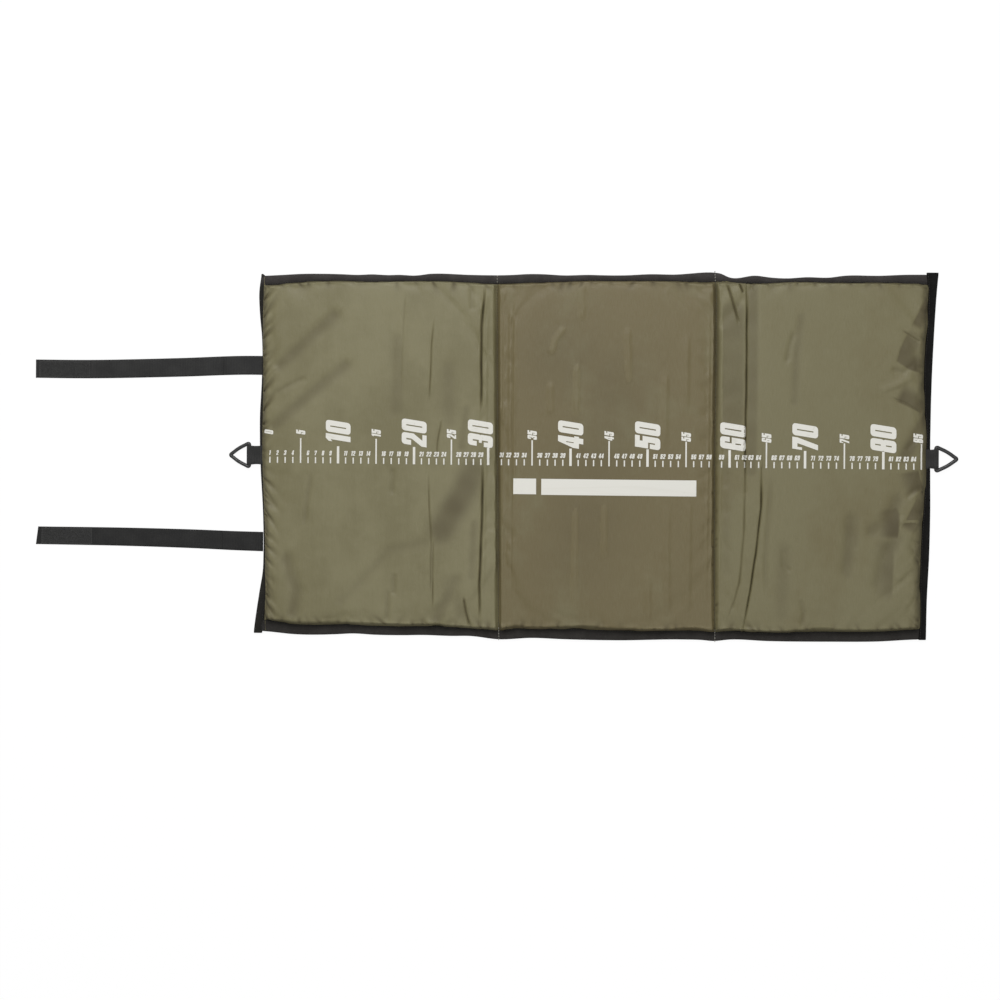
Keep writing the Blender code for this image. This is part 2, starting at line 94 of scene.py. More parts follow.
# Soft studio light: a wide lamp high over the back edge, a weaker one over the front, and pale air all round.
# The floor is a plain pale sheet that keeps a soft shadow of the mat.
WHITE = (1.0, 1.0, 1.0, 1.0)
AIR_STRENGTH = 0.38
LAMPS = (
    ("key_lamp", (-0.35, 1.5, 2.1), 1.2, 33.0),
    ("fill_lamp", (0.3, -0.7, 2.6), 1.6, 9.5),
)
FLOOR_DEPTH = 0.0006
FLOOR_SIZE = 9.0
FLOOR_ALBEDO = 0.38
FLOOR_GLOW = 1.16
FLOOR_GLOW_SHARE = 0.82


class Strand:
    """One value of a material. Sums, products and shares of it add their Math nodes."""

    def __init__(self, finish, socket):
        self.finish = finish
        self.socket = socket

    def __add__(self, other):
        return self.finish.math("ADD", self, other)

    def __sub__(self, other):
        return self.finish.math("SUBTRACT", self, other)

    def __rsub__(self, other):
        return self.finish.math("SUBTRACT", other, self)

    def __mul__(self, other):
        return self.finish.math("MULTIPLY", self, other)

    def __truediv__(self, other):
        return self.finish.math("DIVIDE", self, other)

    def __rtruediv__(self, other):
        return self.finish.math("DIVIDE", other, self)

    __radd__ = __add__
    __rmul__ = __mul__


class Finish:
    """A material, or the air, while it is made. Nodes come from node(), and feed() ends at the shader."""

    def __init__(self, name, constants, air=None):
        self.material = bpy.data.materials.new(name) if air is None else air
        self.material.use_nodes = True
        self.nodes = self.material.node_tree.nodes
        self.links = self.material.node_tree.links
        self.shader = self.nodes["Principled BSDF" if air is None else "Background"]
        for socket, value in constants.items():
            self.shader.inputs[socket].default_value = value

    def node(self, kind, values=None, out=0, **settings):
        made = self.nodes.new("ShaderNode" + kind)
        for setting, value in settings.items():
            setattr(made, setting, value)
        for socket, value in (values or {}).items():
            if isinstance(value, Strand):
                self.links.new(value.socket, made.inputs[socket])
            else:
                made.inputs[socket].default_value = value
        return Strand(self, made.outputs[out])

    def math(self, operation, a, b=0.0):
        return self.node("Math", {0: a, 1: b}, operation=operation)

    def wave(self, value):
        """From -1 to 1, once for each whole step of the value."""
        return self.math("SINE", value * math.tau)

    def between(self, value, low, high):
        """0 below low, 1 above high, and a smooth rise between them."""
        return self.node("MapRange", {0: value, 1: low, 2: high}, interpolation_type="SMOOTHSTEP")

    def axes(self, place):
        """The three parts of a place, each a value."""
        split = self.node("SeparateXYZ", {0: place})
        return [Strand(self, split.socket.node.outputs[part]) for part in range(3)]

    def weave(self, flat, pitch, cross_pitch):
        """Threads crossing on the flat cloth, from -1 to 1."""
        along, across, _ = self.axes(flat)
        return self.wave(along / pitch) * self.wave(across / cross_pitch)

    def clouds(self, place, size, detail=3.0, stretch=(1.0, 1.0, 1.0), roughness=0.55):
        """Soft noise whose lumps are about as wide as size, in metres, times the stretch."""
        scaled = [1.0 / (size * share) for share in stretch]
        spot = self.node("Mapping", {0: place, 3: scaled})
        return self.node("TexNoise", {"Vector": spot, "Scale": 1.0, "Detail": detail, "Roughness": roughness})

    def tint(self, share, low, high):
        """A colour between two, or between a made one and another."""
        low = low if isinstance(low, Strand) else (*low, 1.0)
        high = high if isinstance(high, Strand) else (*high, 1.0)
        return self.node("Mix", {0: share, 6: low, 7: high}, out=2, data_type="RGBA")

    def relief(self, height, depth, strength=1.0, under=None):
        """A normal from a height of 0 to 1, depth metres deep."""
        values = {"Height": height, "Distance": depth, "Strength": strength}
        if under is not None:
            values["Normal"] = under
        return self.node("Bump", values)

    def feed(self, **sockets):
        for socket, value in sockets.items():
            self.links.new(value.socket, self.shader.inputs[socket.replace("_", " ").title()])
        return self.material


for name, place, size, power in LAMPS:
    lamp = bpy.data.objects.new(name, bpy.data.lights.new(name, "AREA"))
    lamp.data.shape = "SQUARE"
    lamp.data.size = size
    lamp.data.energy = power
    aim = (-Vector(place)).to_track_quat("-Z", "Y").to_matrix().to_4x4()
    lamp.matrix_world = Matrix.Translation(place) @ aim
    lamp.visible_camera = False
    scene.collection.objects.link(lamp)

air = Finish("air", {"Color": WHITE}, bpy.data.worlds.new("air"))
scene.world = air.material
air.feed(strength=air.math("MAXIMUM", air.node("LightPath", out="Is Camera Ray"), AIR_STRENGTH))

floor_colour = (FLOOR_ALBEDO, FLOOR_ALBEDO, FLOOR_ALBEDO, 1.0)
pale_floor = Finish("pale_floor", {"Base Color": floor_colour, "Roughness": 0.9, "Specular IOR Level": 0.0})
glow = pale_floor.node("Emission", {"Color": WHITE, "Strength": FLOOR_GLOW})
lit = Strand(pale_floor, pale_floor.shader.outputs[0])
seen_share = pale_floor.node("LightPath", out="Is Camera Ray") * FLOOR_GLOW_SHARE
shown = pale_floor.node("MixShader", {0: seen_share, 1: lit, 2: glow})
pale_floor.links.new(shown.socket, pale_floor.nodes["Material Output"].inputs["Surface"])


def meshed(bm, name):
    """Ends a bmesh as a smooth mesh."""
    mesh = bpy.data.meshes.new(name)
    bm.to_mesh(mesh)
    bm.free()
    mesh.shade_smooth()
    return mesh


bm = bmesh.new()
bmesh.ops.create_grid(bm, x_segments=1, y_segments=1, size=FLOOR_SIZE / 2)
bmesh.ops.translate(bm, vec=(0.0, 0.0, -FLOOR_DEPTH), verts=bm.verts)
floor_mesh = meshed(bm, "floor")
floor_mesh.materials.append(pale_floor.material)
floor = bpy.data.objects.new("floor", floor_mesh)
scene.collection.objects.link(floor)
floor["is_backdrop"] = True


# The outline of the mat: its bound edges wander a few millimetres in and out, the right end leans and the
# front left corner flares. The two seams between its panels run across it nearly straight. The places
# measured on it are whole tenths of a millimetre.
PER_METRE = 10000
BACK_EDGE = (
    (-4480, 2366), (-4259, 2374), (-3790, 2395), (-3321, 2388), (-3087, 2378), (-2931, 2385), (-2696, 2373),
    (-2540, 2377), (-2384, 2366), (-2306, 2368), (-2149, 2389), (-2071, 2391), (-1603, 2372), (-1056, 2369),
    (-821, 2381), (-665, 2379), (-353, 2361), (-40, 2367), (116, 2362), (429, 2359), (741, 2373),
    (1053, 2367), (1600, 2390), (1688, 2380), (1767, 2336), (2147, 2349), (2303, 2326), (2538, 2312),
    (2772, 2327), (3085, 2321), (3241, 2342), (3710, 2342), (4022, 2353), (4470, 2352),
)
BACK_CLOTH = (
    (-4480, 2225), (-4181, 2239), (-3868, 2271), (-3243, 2284), (-3009, 2274), (-2618, 2280), (-2306, 2280),
    (-1837, 2271), (-1368, 2245), (-978, 2248), (116, 2277), (507, 2274), (1132, 2265), (1366, 2253),
    (1678, 2257), (2225, 2235), (2538, 2251), (3163, 2239), (3475, 2240), (4100, 2227), (4470, 2203),
)
FRONT_EDGE = (
    (-4480, -2350), (-4259, -2364), (-3946, -2393), (-3321, -2386), (-3165, -2376), (-2853, -2389),
    (-2462, -2391), (-2228, -2385), (-1837, -2393), (-1603, -2390), (-1212, -2430), (-743, -2406),
    (-353, -2418), (350, -2424), (1210, -2403), (1444, -2406), (1600, -2419), (1835, -2396), (2303, -2410),
    (3085, -2409), (3710, -2399), (4256, -2366), (4470, -2368),
)
FRONT_CLOTH = (
    (-4480, -2197), (-4181, -2210), (-3946, -2240), (-3556, -2245), (-3243, -2239), (-2931, -2253),
    (-2540, -2258), (-1993, -2253), (-1681, -2273), (-1368, -2288), (-1134, -2294), (-1017, -2268),
    (-743, -2277), (-313, -2264), (194, -2273), (819, -2285), (1444, -2272), (1600, -2287), (1757, -2270),
    (2108, -2284), (2538, -2282), (2850, -2262), (3631, -2260), (4100, -2230), (4470, -2200),
)
LEFT_EDGE = (
    (-2424, -4480), (-2340, -4473), (-2120, -4445), (-1856, -4406), (-1533, -4357), (-1380, -4352),
    (-726, -4363), (-242, -4393), (242, -4409), (565, -4408), (888, -4391), (1533, -4387), (1856, -4417),
    (2179, -4427), (2390, -4398),
)
LEFT_CLOTH = (
    (-2424, -4312), (-2120, -4323), (-1856, -4313), (-1550, -4319), (-1000, -4328), (0, -4367),
    (1116, -4361), (1700, -4371), (2140, -4362), (2390, -4355),
)
RIGHT_EDGE = (
    (-2424, 4340), (-1776, 4352), (-1372, 4372), (-888, 4384), (242, 4381), (1049, 4397), (1533, 4418),
    (2179, 4457), (2390, 4476),
)
RIGHT_CLOTH = (
    (-2424, 4232), (-2180, 4250), (-1533, 4246), (-969, 4268), (-565, 4294), (-150, 4316), (300, 4318),
    (700, 4290), (1210, 4286), (1775, 4325), (2179, 4328), (2390, 4310),
)
LEFT_SEAM = ((-2424, -1200), (0, -1225), (2390, -1250))
RIGHT_SEAM = ((-2424, 1626), (-1500, 1612), (0, 1608), (1500, 1618), (2150, 1612), (2390, 1597))


def through(points):
    """A smooth line through measured points, each a place along and the place across it there."""
    along, across = np.array(points).T / PER_METRE
    slopes = np.gradient(across, along)

    def line(at):
        at = np.clip(at, along[0], along[-1])
        first = np.clip(np.searchsorted(along, at) - 1, 0, len(along) - 2)
        step = along[first + 1] - along[first]
        t = (at - along[first]) / step
        held = (1 + 2 * t) * (1 - t) ** 2 * across[first] + t * t * (3 - 2 * t) * across[first + 1]
        return held + step * (t * (1 - t) ** 2 * slopes[first] + t * t * (t - 1) * slopes[first + 1])

    return line


back_edge, back_cloth = through(BACK_EDGE), through(BACK_CLOTH)
front_edge, front_cloth = through(FRONT_EDGE), through(FRONT_CLOTH)
left_edge, left_cloth = through(LEFT_EDGE), through(LEFT_CLOTH)
right_edge, right_cloth = through(RIGHT_EDGE), through(RIGHT_CLOTH)
left_seam, right_seam = through(LEFT_SEAM), through(RIGHT_SEAM)


# Three slabs of soft foam fill the mat, one to a panel. They lie loose between the covers, a little lower
# than the cloth over them, with a groove along the left fold.
middle_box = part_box("middle_top_cover")
LEFT_FOLD_X, RIGHT_FOLD_X, MAT_TOP = middle_box[0].x, middle_box[1].x, middle_box[1].z
HALF_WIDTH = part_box("middle_back_binding")[1].y
SIDE_BORDER = (0.0, 0.0022)
END_BORDER = (0.0, 0.0080)
SEAM_BORDER = (0.0016, 0.0014)
LIFT_BORDER = (0.0, 0.012)
SEAM_LIFT = 0.0056
FLANGE_TOP = 0.0034
TAPE_TOP = 0.0049
LEFT_EDGE_TOP = 0.0054
CROWN_LOSS = 0.0006
FOAM_DROP = 0.0070
FOAM_INSET = 0.007
FOAM_UNDERSIDE = 0.0024
FOAM_BEND_LIFT = 0.0008
FOAM_LEAST = 0.0006
FOAM_CELL = 0.006
FOAM_GROOVE = 0.0060
FOAM_GROOVE_REACH = 0.009
LEFT_BEND = (LEFT_FOLD_X + 0.004, LEFT_FOLD_X - 0.039)
RIGHT_BEND = (RIGHT_FOLD_X, RIGHT_FOLD_X + 0.022)
BEND_SPREAD = 0.7
BEND_CROWD = 4.5
CROWD_STEPS = 500
SLAB_EDGE_ANGLE = math.radians(50)

PANELS = {
    "left": {"low": left_cloth, "high": left_seam, "borders": (END_BORDER, SEAM_BORDER), "bend": LEFT_BEND},
    "middle": {"low": left_seam, "high": right_seam, "borders": (SEAM_BORDER, SEAM_BORDER), "bend": None},
    "right": {
        "low": right_seam, "high": right_cloth, "borders": (SEAM_BORDER, END_BORDER), "bend": RIGHT_BEND,
    },
}


def rise(distance, border):
    """How far the cloth has risen at a distance from its seam: flat first, then a quarter round up to 1."""
    floor, slope = border
    left = 1 - np.clip((distance - floor) / slope, 0.0, 1.0)
    return np.sqrt(1 - left * left)


def off_sides(x, y):
    """How far places lie inside the cloth's back and front edges."""
    return np.minimum(back_cloth(x) - y, y - front_cloth(x))


def off_edges(x, y, low, high):
    """How far places lie inside those edges and between two end lines."""
    return np.minimum(off_sides(x, y), np.minimum(x - low(y), high(y) - x))


def seam_foot(x, y):
    """The height at which the covers are sewn together, which the pads lift along the two seams."""
    off_seam = np.minimum(np.abs(x - left_seam(y)), np.abs(x - right_seam(y)))
    return FLANGE_TOP + SEAM_LIFT * rise(off_sides(x, y), LIFT_BORDER) * (1 - rise(off_seam, SEAM_BORDER))


def panel_height(side, x, y, drop=0.0, inset=0.0):
    """The upper face of a panel's cloth over the floor, at arrays of places, or a face drawn in under it."""
    panel = PANELS[side]
    low, high = panel["low"](y), panel["high"](y)
    low_border, high_border = panel["borders"]
    full = rise(back_cloth(x) - y - inset, SIDE_BORDER) * rise(y - front_cloth(x) - inset, SIDE_BORDER)
    full *= rise(x - low - inset, low_border) * rise(high - x - inset, high_border)
    foot = seam_foot(x, y)
    if side == "left":
        foot = foot + (LEFT_EDGE_TOP - FLANGE_TOP) * (1 - rise(x - low, END_BORDER))
    off_middle = ((2 * x - low - high) / (high - low)) ** 2 + (y / HALF_WIDTH) ** 2
    return foot + (MAT_TOP - foot - drop - CROWN_LOSS * off_middle / 2) * full


def crowded(shares, low, high, places):
    """Shares of a width, drawn together near some places, so that folds and bends there get enough points."""
    line = np.linspace(low, high, CROWD_STEPS)
    gathered = sum(gain * np.exp(-(((line - middle) / reach) ** 2)) for middle, reach, gain in places)
    crowd = np.ones(CROWD_STEPS) + gathered
    total = np.concatenate(([0.0], np.cumsum((crowd[1:] + crowd[:-1]) / 2)))
    return np.interp(shares, total / total[-1], np.linspace(0.0, 1.0, CROWD_STEPS))


def laid_out(u, v, y, ends, places, edges, inset, end_inset=0.0):
    """Places on a panel from their shares of the way between its two ends and its two edges, drawn in by the
    insets. The end lines are read at a first guess of y."""
    low, high = ends
    share = crowded(u, float(low(0.0)), float(high(0.0)), places)
    start, stop = low(y) + end_inset, high(y) - end_inset
    x = start + (stop - start) * share
    back, front = edges[0](x) - inset, edges[1](x) + inset
    return x, front + (back - front) * v


def bend_places(side):
    """Where a panel bends over its fold: the middle, the reach and the crowding of its points there."""
    bend = PANELS[side]["bend"]
    return [(sum(bend) / 2, BEND_SPREAD * abs(bend[1] - bend[0]), BEND_CROWD)] if bend else []


def foam_floor(side, x):
    """The underside of a panel's foam, a little higher where it bends."""
    bends = (np.exp(-(((x - middle) / reach) ** 2)) for middle, reach, _ in bend_places(side))
    return FOAM_UNDERSIDE + FOAM_BEND_LIFT * sum(bends)


def laid(name, cells, place, flat=None):
    """A mesh on a grid, its points put where place() says from two shares, its UV map the cloth laid flat."""
    bm = bmesh.new()
    bmesh.ops.create_grid(bm, x_segments=cells[0], y_segments=cells[1], size=0.5, calc_uvs=False)
    mesh = meshed(bm, name)
    shares = coordinates(mesh)[:, :2] + 0.5
    placed = np.stack(np.broadcast_arrays(*place(shares[:, 0], shares[:, 1])), axis=1)
    spread = placed[:, :2] if flat is None else np.stack(flat(shares[:, 0], shares[:, 1]), axis=1)
    spread_out(mesh, spread)
    put_points(mesh, placed)
    return mesh


def coordinates(mesh):
    """The points of a mesh as an array."""
    found = np.zeros(len(mesh.vertices) * 3)
    mesh.vertices.foreach_get("co", found)
    return found.reshape(-1, 3)


def put_points(mesh, places):
    """Moves the points of a mesh to new places."""
    mesh.vertices.foreach_set("co", places.astype(np.float32).ravel())
    mesh.update()


def spread_out(mesh, spread):
    """Gives a mesh the UV map in which each point lies at its place on the flat cloth, in metres."""
    corners = np.zeros(len(mesh.loops), dtype=np.int64)
    mesh.loops.foreach_get("vertex_index", corners)
    chart = mesh.uv_layers.get("flat") or mesh.uv_layers.new(name="flat")
    chart.data.foreach_set("uv", spread[corners].astype(np.float32).ravel())


def shown_piece(name, mesh, finish):
    """A piece of the mat in the scene, with its finish."""
    obj = bpy.data.objects.new(name, mesh)
    scene.collection.objects.link(obj)
    mesh.materials.append(finish)
    return obj


def carried(obj, side):
    """Attaches a piece of the middle panel to the middle panel's body; on an end panel it only bakes the
    piece's place into its mesh.
    """
    bend = PANELS[side]["bend"]
    if bend is None:
        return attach(obj, "middle_panel")
    start, end = bend
    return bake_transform(obj, "middle_panel", side + "_panel", start=(start, 0.0, 0.0), end=(end, 0.0, 0.0))


foam = Finish("grey_foam", {"Roughness": 0.9})
foam_place = foam.node("TexCoord", out="Object")
foam_cells = foam.node("TexVoronoi", {"Vector": foam_place, "Scale": 700.0}, feature="F1")
foam_dust = foam.clouds(foam_place, 0.02)
foam_share = foam.between(foam_cells * 0.7 + foam_dust * 0.5, 0.3, 0.8)
foam_shade = foam.tint(foam_share, (0.50, 0.50, 0.48), (0.78, 0.78, 0.75))
foam_finish = foam.feed(base_color=foam_shade, normal=foam.relief(foam_cells, 0.0006))

for side, panel in PANELS.items():
    def foam_place_of(u, v):
        y = (back_cloth(0.0) - FOAM_INSET) * (2 * v - 1)
        ends, edges = (panel["low"], panel["high"]), (back_cloth, front_cloth)
        x, y = laid_out(u, v, y, ends, bend_places(side), edges, FOAM_INSET, FOAM_INSET)
        groove = FOAM_GROOVE * np.exp(-(((x - LEFT_FOLD_X) / FOAM_GROOVE_REACH) ** 2))
        height = panel_height(side, x, y, FOAM_DROP, FOAM_INSET)
        return x, y, np.maximum(height - groove, foam_floor(side, x) + FOAM_LEAST)

    width = panel["high"](0.0) - panel["low"](0.0)
    cells = (round(width / FOAM_CELL), round(2 * HALF_WIDTH / FOAM_CELL))
    slab = laid(side + "_foam", cells, foam_place_of)
    bm = bmesh.new()
    bm.from_mesh(slab)
    under = bmesh.ops.extrude_face_region(bm, geom=bm.faces[:], use_keep_orig=True)["geom"]
    for part in under:
        if isinstance(part, bmesh.types.BMVert):
            part.co.z = foam_floor(side, part.co.x)
    bmesh.ops.recalc_face_normals(bm, faces=bm.faces)
    bm.to_mesh(slab)
    bm.free()
    slab.set_sharp_from_angle(angle=SLAB_EDGE_ANGLE)
    pad = shown_piece(side + "_foam", slab, foam_finish)
    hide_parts(side + "_foam_pad")
    carried(pad, side)


# The upper face of each panel is one piece of close-woven coated cloth, caught under the binding and in the
# seams and blown up by the foam. It is drawn by a cloth simulation, and then takes the folds and puckers that
# packing has left in it. Shade is painted into its colour along the folds, in the puckers, at its edges and
# in broad patches, and painted highlights lie along some ridges and strips.
CLOTH_CELL = 0.0040
CROWDED = {
    "sides": ((-0.2300, 0.0075, 2.6), (0.2300, 0.0075, 2.6)),
    "left": ((-0.4340, 0.0120, 1.3), (-0.2100, 0.0070, 2.2), (-0.1425, 0.0060, 2.5), (-0.1225, 0.0070, 2.0)),
    "middle": ((-0.1190, 0.0070, 2.0), (-0.1050, 0.0070, 1.2), (0.1560, 0.0080, 2.0)),
    "right": (
        (0.1640, 0.0080, 1.6), (0.1920, 0.0080, 1.0), (0.2030, 0.0090, 2.5), (0.2180, 0.0060, 1.6),
        (0.4250, 0.0150, 1.2),
    ),
}
CLOTH_TUCK = 0.0022
SWELL_CAP = 0.0010
SWELL_DROP = 0.0018
SWELL_FRAMES = 20
# The fabric while it is blown up: how stiff it is, how much it grows (less than 0) and how hard it is blown
FABRIC = {
    "quality": 6, "mass": 0.12, "tension_stiffness": 25.0, "compression_stiffness": 25.0,
    "shear_stiffness": 8.0, "bending_stiffness": 0.15, "use_pressure": True, "uniform_pressure_force": 4.0,
    "shrink_min": -0.028, "shrink_max": -0.028,
}
PINCH_REACH = 0.0042
PINCH_MOST = 0.7

# How each kind of fold lies: depth, reach to its left and right walking along it, sharpness, the lips beside
# it as a share of its depth, and how much shade is painted along it, or how much painted highlight where that
# is below 0. Many kinds are little or no fold and mostly painted shadow or painted highlight.
FOLD_KINDS = {
    "fold": (0.0038, 0.0012, 0.0011, 1.4, 0.14, 0.92),
    "crease": (0.0024, 0.0010, 0.0009, 1.3, 0.20, 0.95),
    "trace": (0.0012, 0.0012, 0.0012, 1.3, 0.10, 0.42),
    "step": (0.0020, 0.0090, 0.0014, 1.0, 0.0, 0.0),
    "tuck": (0.0026, 0.0012, 0.0011, 1.3, 0.20, 1.0),
    "line": (0.0010, 0.0010, 0.0009, 1.2, 0.15, 0.55),
    "dent": (0.0012, 0.0040, 0.0032, 2.0, 0.0, 0.22),
    "swale": (0.0014, 0.0105, 0.0080, 2.4, 0.0, 0.40),
    "cloud": (0.0004, 0.0110, 0.0110, 2.4, 0.0, 0.26),
    "patch": (0.0006, 0.0230, 0.0210, 3.0, 0.0, 0.72),
    "cast": (0.0006, 0.0026, 0.0250, 4.0, 0.0, 0.84),
    "pale_cast": (0.0003, 0.0035, 0.0220, 3.0, 0.0, 0.52),
    "haze": (0.0005, 0.0085, 0.0075, 2.2, 0.0, 0.17),
    "strip": (0.0000, 0.0095, 0.0095, 4.0, 0.0, -1.05),
    "broad_shade": (0.0000, 0.0700, 0.0700, 2.0, 0.0, 0.24),
    "ridge": (-0.0010, 0.0030, 0.0060, 2.0, 0.0, -0.95),
    "pale_strip": (0.0000, 0.0120, 0.0140, 2.0, 0.0, -0.85),
    "gleam": (-0.0007, 0.0019, 0.0019, 2.0, 0.0, -1.15),
    "valley": (0.0000, 0.0032, 0.0032, 6.0, 0.0, 0.62),
    "broad_valley": (0.0000, 0.0052, 0.0058, 4.0, 0.0, 0.60),
    "thin_valley": (0.0000, 0.0024, 0.0024, 3.0, 0.0, 0.52),
    "band": (0.0005, 0.0085, 0.0085, 4.0, 0.0, 0.42),
    "wide_band": (0.0003, 0.0190, 0.0190, 8.0, 0.0, 0.42),
    "shadow": (0.0009, 0.0120, 0.0090, 3.4, 0.0, 0.72),
    "shade_smear": (0.0003, 0.0070, 0.0055, 2.4, 0.0, 0.30),
    "hair": (0.0004, 0.0012, 0.0012, 1.5, 0.0, 0.20),
}
LONG_CREASE = ((2008, 2242), (2010, 1109), (1998, -56), (2006, -471))
FAINT_CREASE = ((2006, -300), (1988, -1041), (1936, -1650), (1871, -1884), (1735, -2230))
CURVED_CREASE = ((2215, -160), (2205, -690), (2145, -1247), (2071, -1759), (1990, -2250))
LEFT_VALLEY = ((-1250, 2400), (-1225, 0), (-1200, -2400))
RIGHT_VALLEY = ((1626, -2400), (1612, -1500), (1608, 0), (1618, 1500), (1597, 2400))
BACK_VALLEY = ((1600, 2400), (1618, 1500), (1610, 300))
# The folds of each panel, with the patches of painted shade and painted highlight laid over it, along their
# measured paths, in whole tenths of a millimetre
FOLDS = {
    "left": (
        ("valley", LEFT_VALLEY),
        ("fold", (
            (-1398, 2262), (-1410, 2071), (-1428, 1870), (-1442, 1650), (-1445, 1350), (-1441, 977),
            (-1439, 480),
        )),
        ("fold", ((-1417, -20), (-1420, -727), (-1440, -1350), (-1452, -1700), (-1446, -2262))),
        ("gleam", ((-1340, 2180), (-1375, 1500), (-1378, 0), (-1400, -2150))),
        ("cloud", ((-1876, 1157), (-1850, 444))),
        ("cloud", ((-2560, 1500), (-2553, 1100), (-2560, 600))),
        ("patch", ((-1560, -200), (-1650, -460), (-1800, -700), (-1960, -980))),
        ("shade_smear", ((-1640, 600), (-1700, 100))),
        ("shade_smear", ((-1530, -900), (-1560, -1600))),
        ("cloud", ((-1837, -1695), (-1668, -2098))),
        ("hair", ((-2445, 2238), (-2486, 1534), (-2499, 1107), (-2516, 765))),
        ("line", ((-2070, 1816), (-2098, 1466), (-2117, 923), (-2127, 648))),
        ("line", ((-1956, 500), (-2011, 178), (-2031, -120))),
        ("line", ((-2134, -174), (-2119, -717), (-2094, -1033), (-2101, -1913))),
        ("line", ((-2068, -1046), (-2067, -1584), (-2065, -2070))),
        ("dent", ((-2613, -156), (-2611, -550))),
        ("dent", ((-3680, -213), (-3733, -530), (-3787, -980))),
        ("dent", ((-2581, -1549), (-2589, -1878))),
        ("dent", ((-2654, -1761), (-2680, -2234))),
        ("haze", ((-2183, -1139), (-2662, -1261), (-2844, -1486), (-3280, -1925))),
        ("swale", ((-1771, -1647), (-2018, -2174))),
        ("tuck", ((-1664, -1856), (-1630, -2065), (-1569, -2274))),
        ("dent", ((-1584, 2209), (-1569, 1868))),
        ("swale", ((-3397, 1832), (-3848, 1423), (-4114, 1172))),
        ("swale", ((-3246, 1173), (-3753, 763), (-4189, 379))),
        ("dent", ((-3752, 1021), (-4018, 895), (-4245, 756))),
        ("swale", ((-4018, -1404), (-3881, -1799), (-3933, -2090))),
    ),
    "middle": (
        ("valley", LEFT_VALLEY),
        ("thin_valley", RIGHT_VALLEY),
        ("broad_valley", BACK_VALLEY),
        ("strip", ((-1115, 2200), (-1112, 400), (-1118, -2200))),
        ("gleam", ((-1148, 2200), (-1146, 400), (-1150, -2200))),
        ("gleam", ((-1068, 2180), (-1066, 300), (-1064, -700))),
        ("hair", ((-1036, 2180), (-1034, 500), (-1030, -2100))),
        ("gleam", ((-1004, 2150), (-998, 200), (-995, -900))),
        ("gleam", ((1530, 2180), (1522, 200), (1500, -2100))),
        ("ridge", ((-113, 2256), (-113, 1734))),
        ("ridge", ((-182, 1239), (-184, 456))),
        ("ridge", ((-190, -588), (-194, -2049))),
        ("ridge", ((1248, 1628), (1240, 486))),
        ("ridge", ((976, 1135), (963, 69))),
        ("ridge", ((1289, -475), (1274, -2163))),
        ("ridge", ((1005, -600), (1015, -2166))),
        ("ridge", ((188, -586), (192, -1367))),
        ("ridge", ((-335, 1683), (-464, 1500), (-528, 1291))),
        ("broad_shade", ((-400, 1300), (300, 900), (100, -300), (-200, -1300))),
        ("ridge", ((760, -1500), (770, -2180))),
        ("pale_strip", ((1060, -650), (1120, -1400), (1300, -2050))),
        ("pale_strip", ((1480, 2100), (1460, 1500), (1470, -600), (1500, -2200))),
        ("pale_strip", ((800, -1500), (780, -2200))),
        ("ridge", ((480, 1700), (500, 900))),
        ("ridge", ((-520, 978), (-524, 500))),
    ),
    "right": (
        ("thin_valley", RIGHT_VALLEY),
        ("broad_valley", BACK_VALLEY),
        ("band", ((2085, 2240), (2092, 1109), (2080, -200))),
        ("wide_band", ((1825, 1850), (1825, 1200), (1820, 200))),
        ("haze", ((1760, -100), (1760, -1500))),
        ("step", LONG_CREASE),
        ("crease", LONG_CREASE),
        ("trace", FAINT_CREASE),
        ("step", CURVED_CREASE),
        ("crease", CURVED_CREASE),
        ("gleam", ((1690, 2200), (1690, 300), (1670, -2150))),
        ("tuck", ((1745, 2262), (1814, 2044), (1882, 1799), (1920, 1680))),
        ("tuck", ((1905, 2250), (1962, 2100))),
        ("hair", ((2046, 2249), (2098, 2120))),
        ("dent", ((2343, -184), (2320, -573), (2261, -1349), (2277, -1867))),
        ("line", ((3990, 1630), (4144, 1522), (4270, 1458))),
        ("dent", ((4171, 1201), (4007, 1085), (3842, 1136))),
        ("ridge", ((4180, 1040), (3958, 917), (3700, 820))),
        ("line", ((3857, 763), (4035, 686), (4240, 571))),
        ("dent", ((4052, 56), (4152, 185), (4266, 262))),
        ("ridge", ((4273, -856), (4120, -838), (3943, -859))),
        ("swale", ((3929, -560), (3841, -821), (3626, -951))),
        ("swale", ((3919, -1078), (3781, -1336), (3694, -1646))),
        ("ridge", ((4162, -1410), (4061, -1501), (3948, -1618))),
        ("swale", ((3345, -824), (3334, -1159), (3298, -1495))),
        ("dent", ((2491, -1192), (2505, -1425), (2595, -1527))),
        ("dent", ((4043, -562), (4169, -433), (4282, -393))),
        ("dent", ((2712, -1837), (2765, -2017), (2740, -2224))),
        ("dent", ((2627, 1627), (2564, 1433), (2515, 1174))),
        ("cast", ((4118, 1647), (4230, 1860), (4330, 2080))),
        ("cast", ((4330, 1050), (4087, 1140), (3950, 1230), (3990, 1380), (4060, 1530), (4150, 1660))),
        ("cast", ((4310, 540), (4100, 650), (3900, 740))),
        ("shadow", ((4290, 470), (4170, 260), (4040, 20))),
        ("cast", ((4190, -150), (4225, -300), (4290, -460))),
        ("cast", ((4000, -950), (4110, -760), (4250, -480))),
        ("cast", ((3900, -600), (3955, -750), (3950, -950), (3930, -1120))),
        ("pale_cast", ((3890, -1000), (3880, -1400), (3860, -1900))),
        ("pale_cast", ((4200, -2080), (4200, -1500), (4190, -950))),
        ("shade_smear", ((3405, -830), (3400, -1150))),
        ("cloud", ((2500, -1200), (2480, -2050))),
        ("shade_smear", ((2700, 1800), (2640, 1300), (2620, 700))),
    ),
}
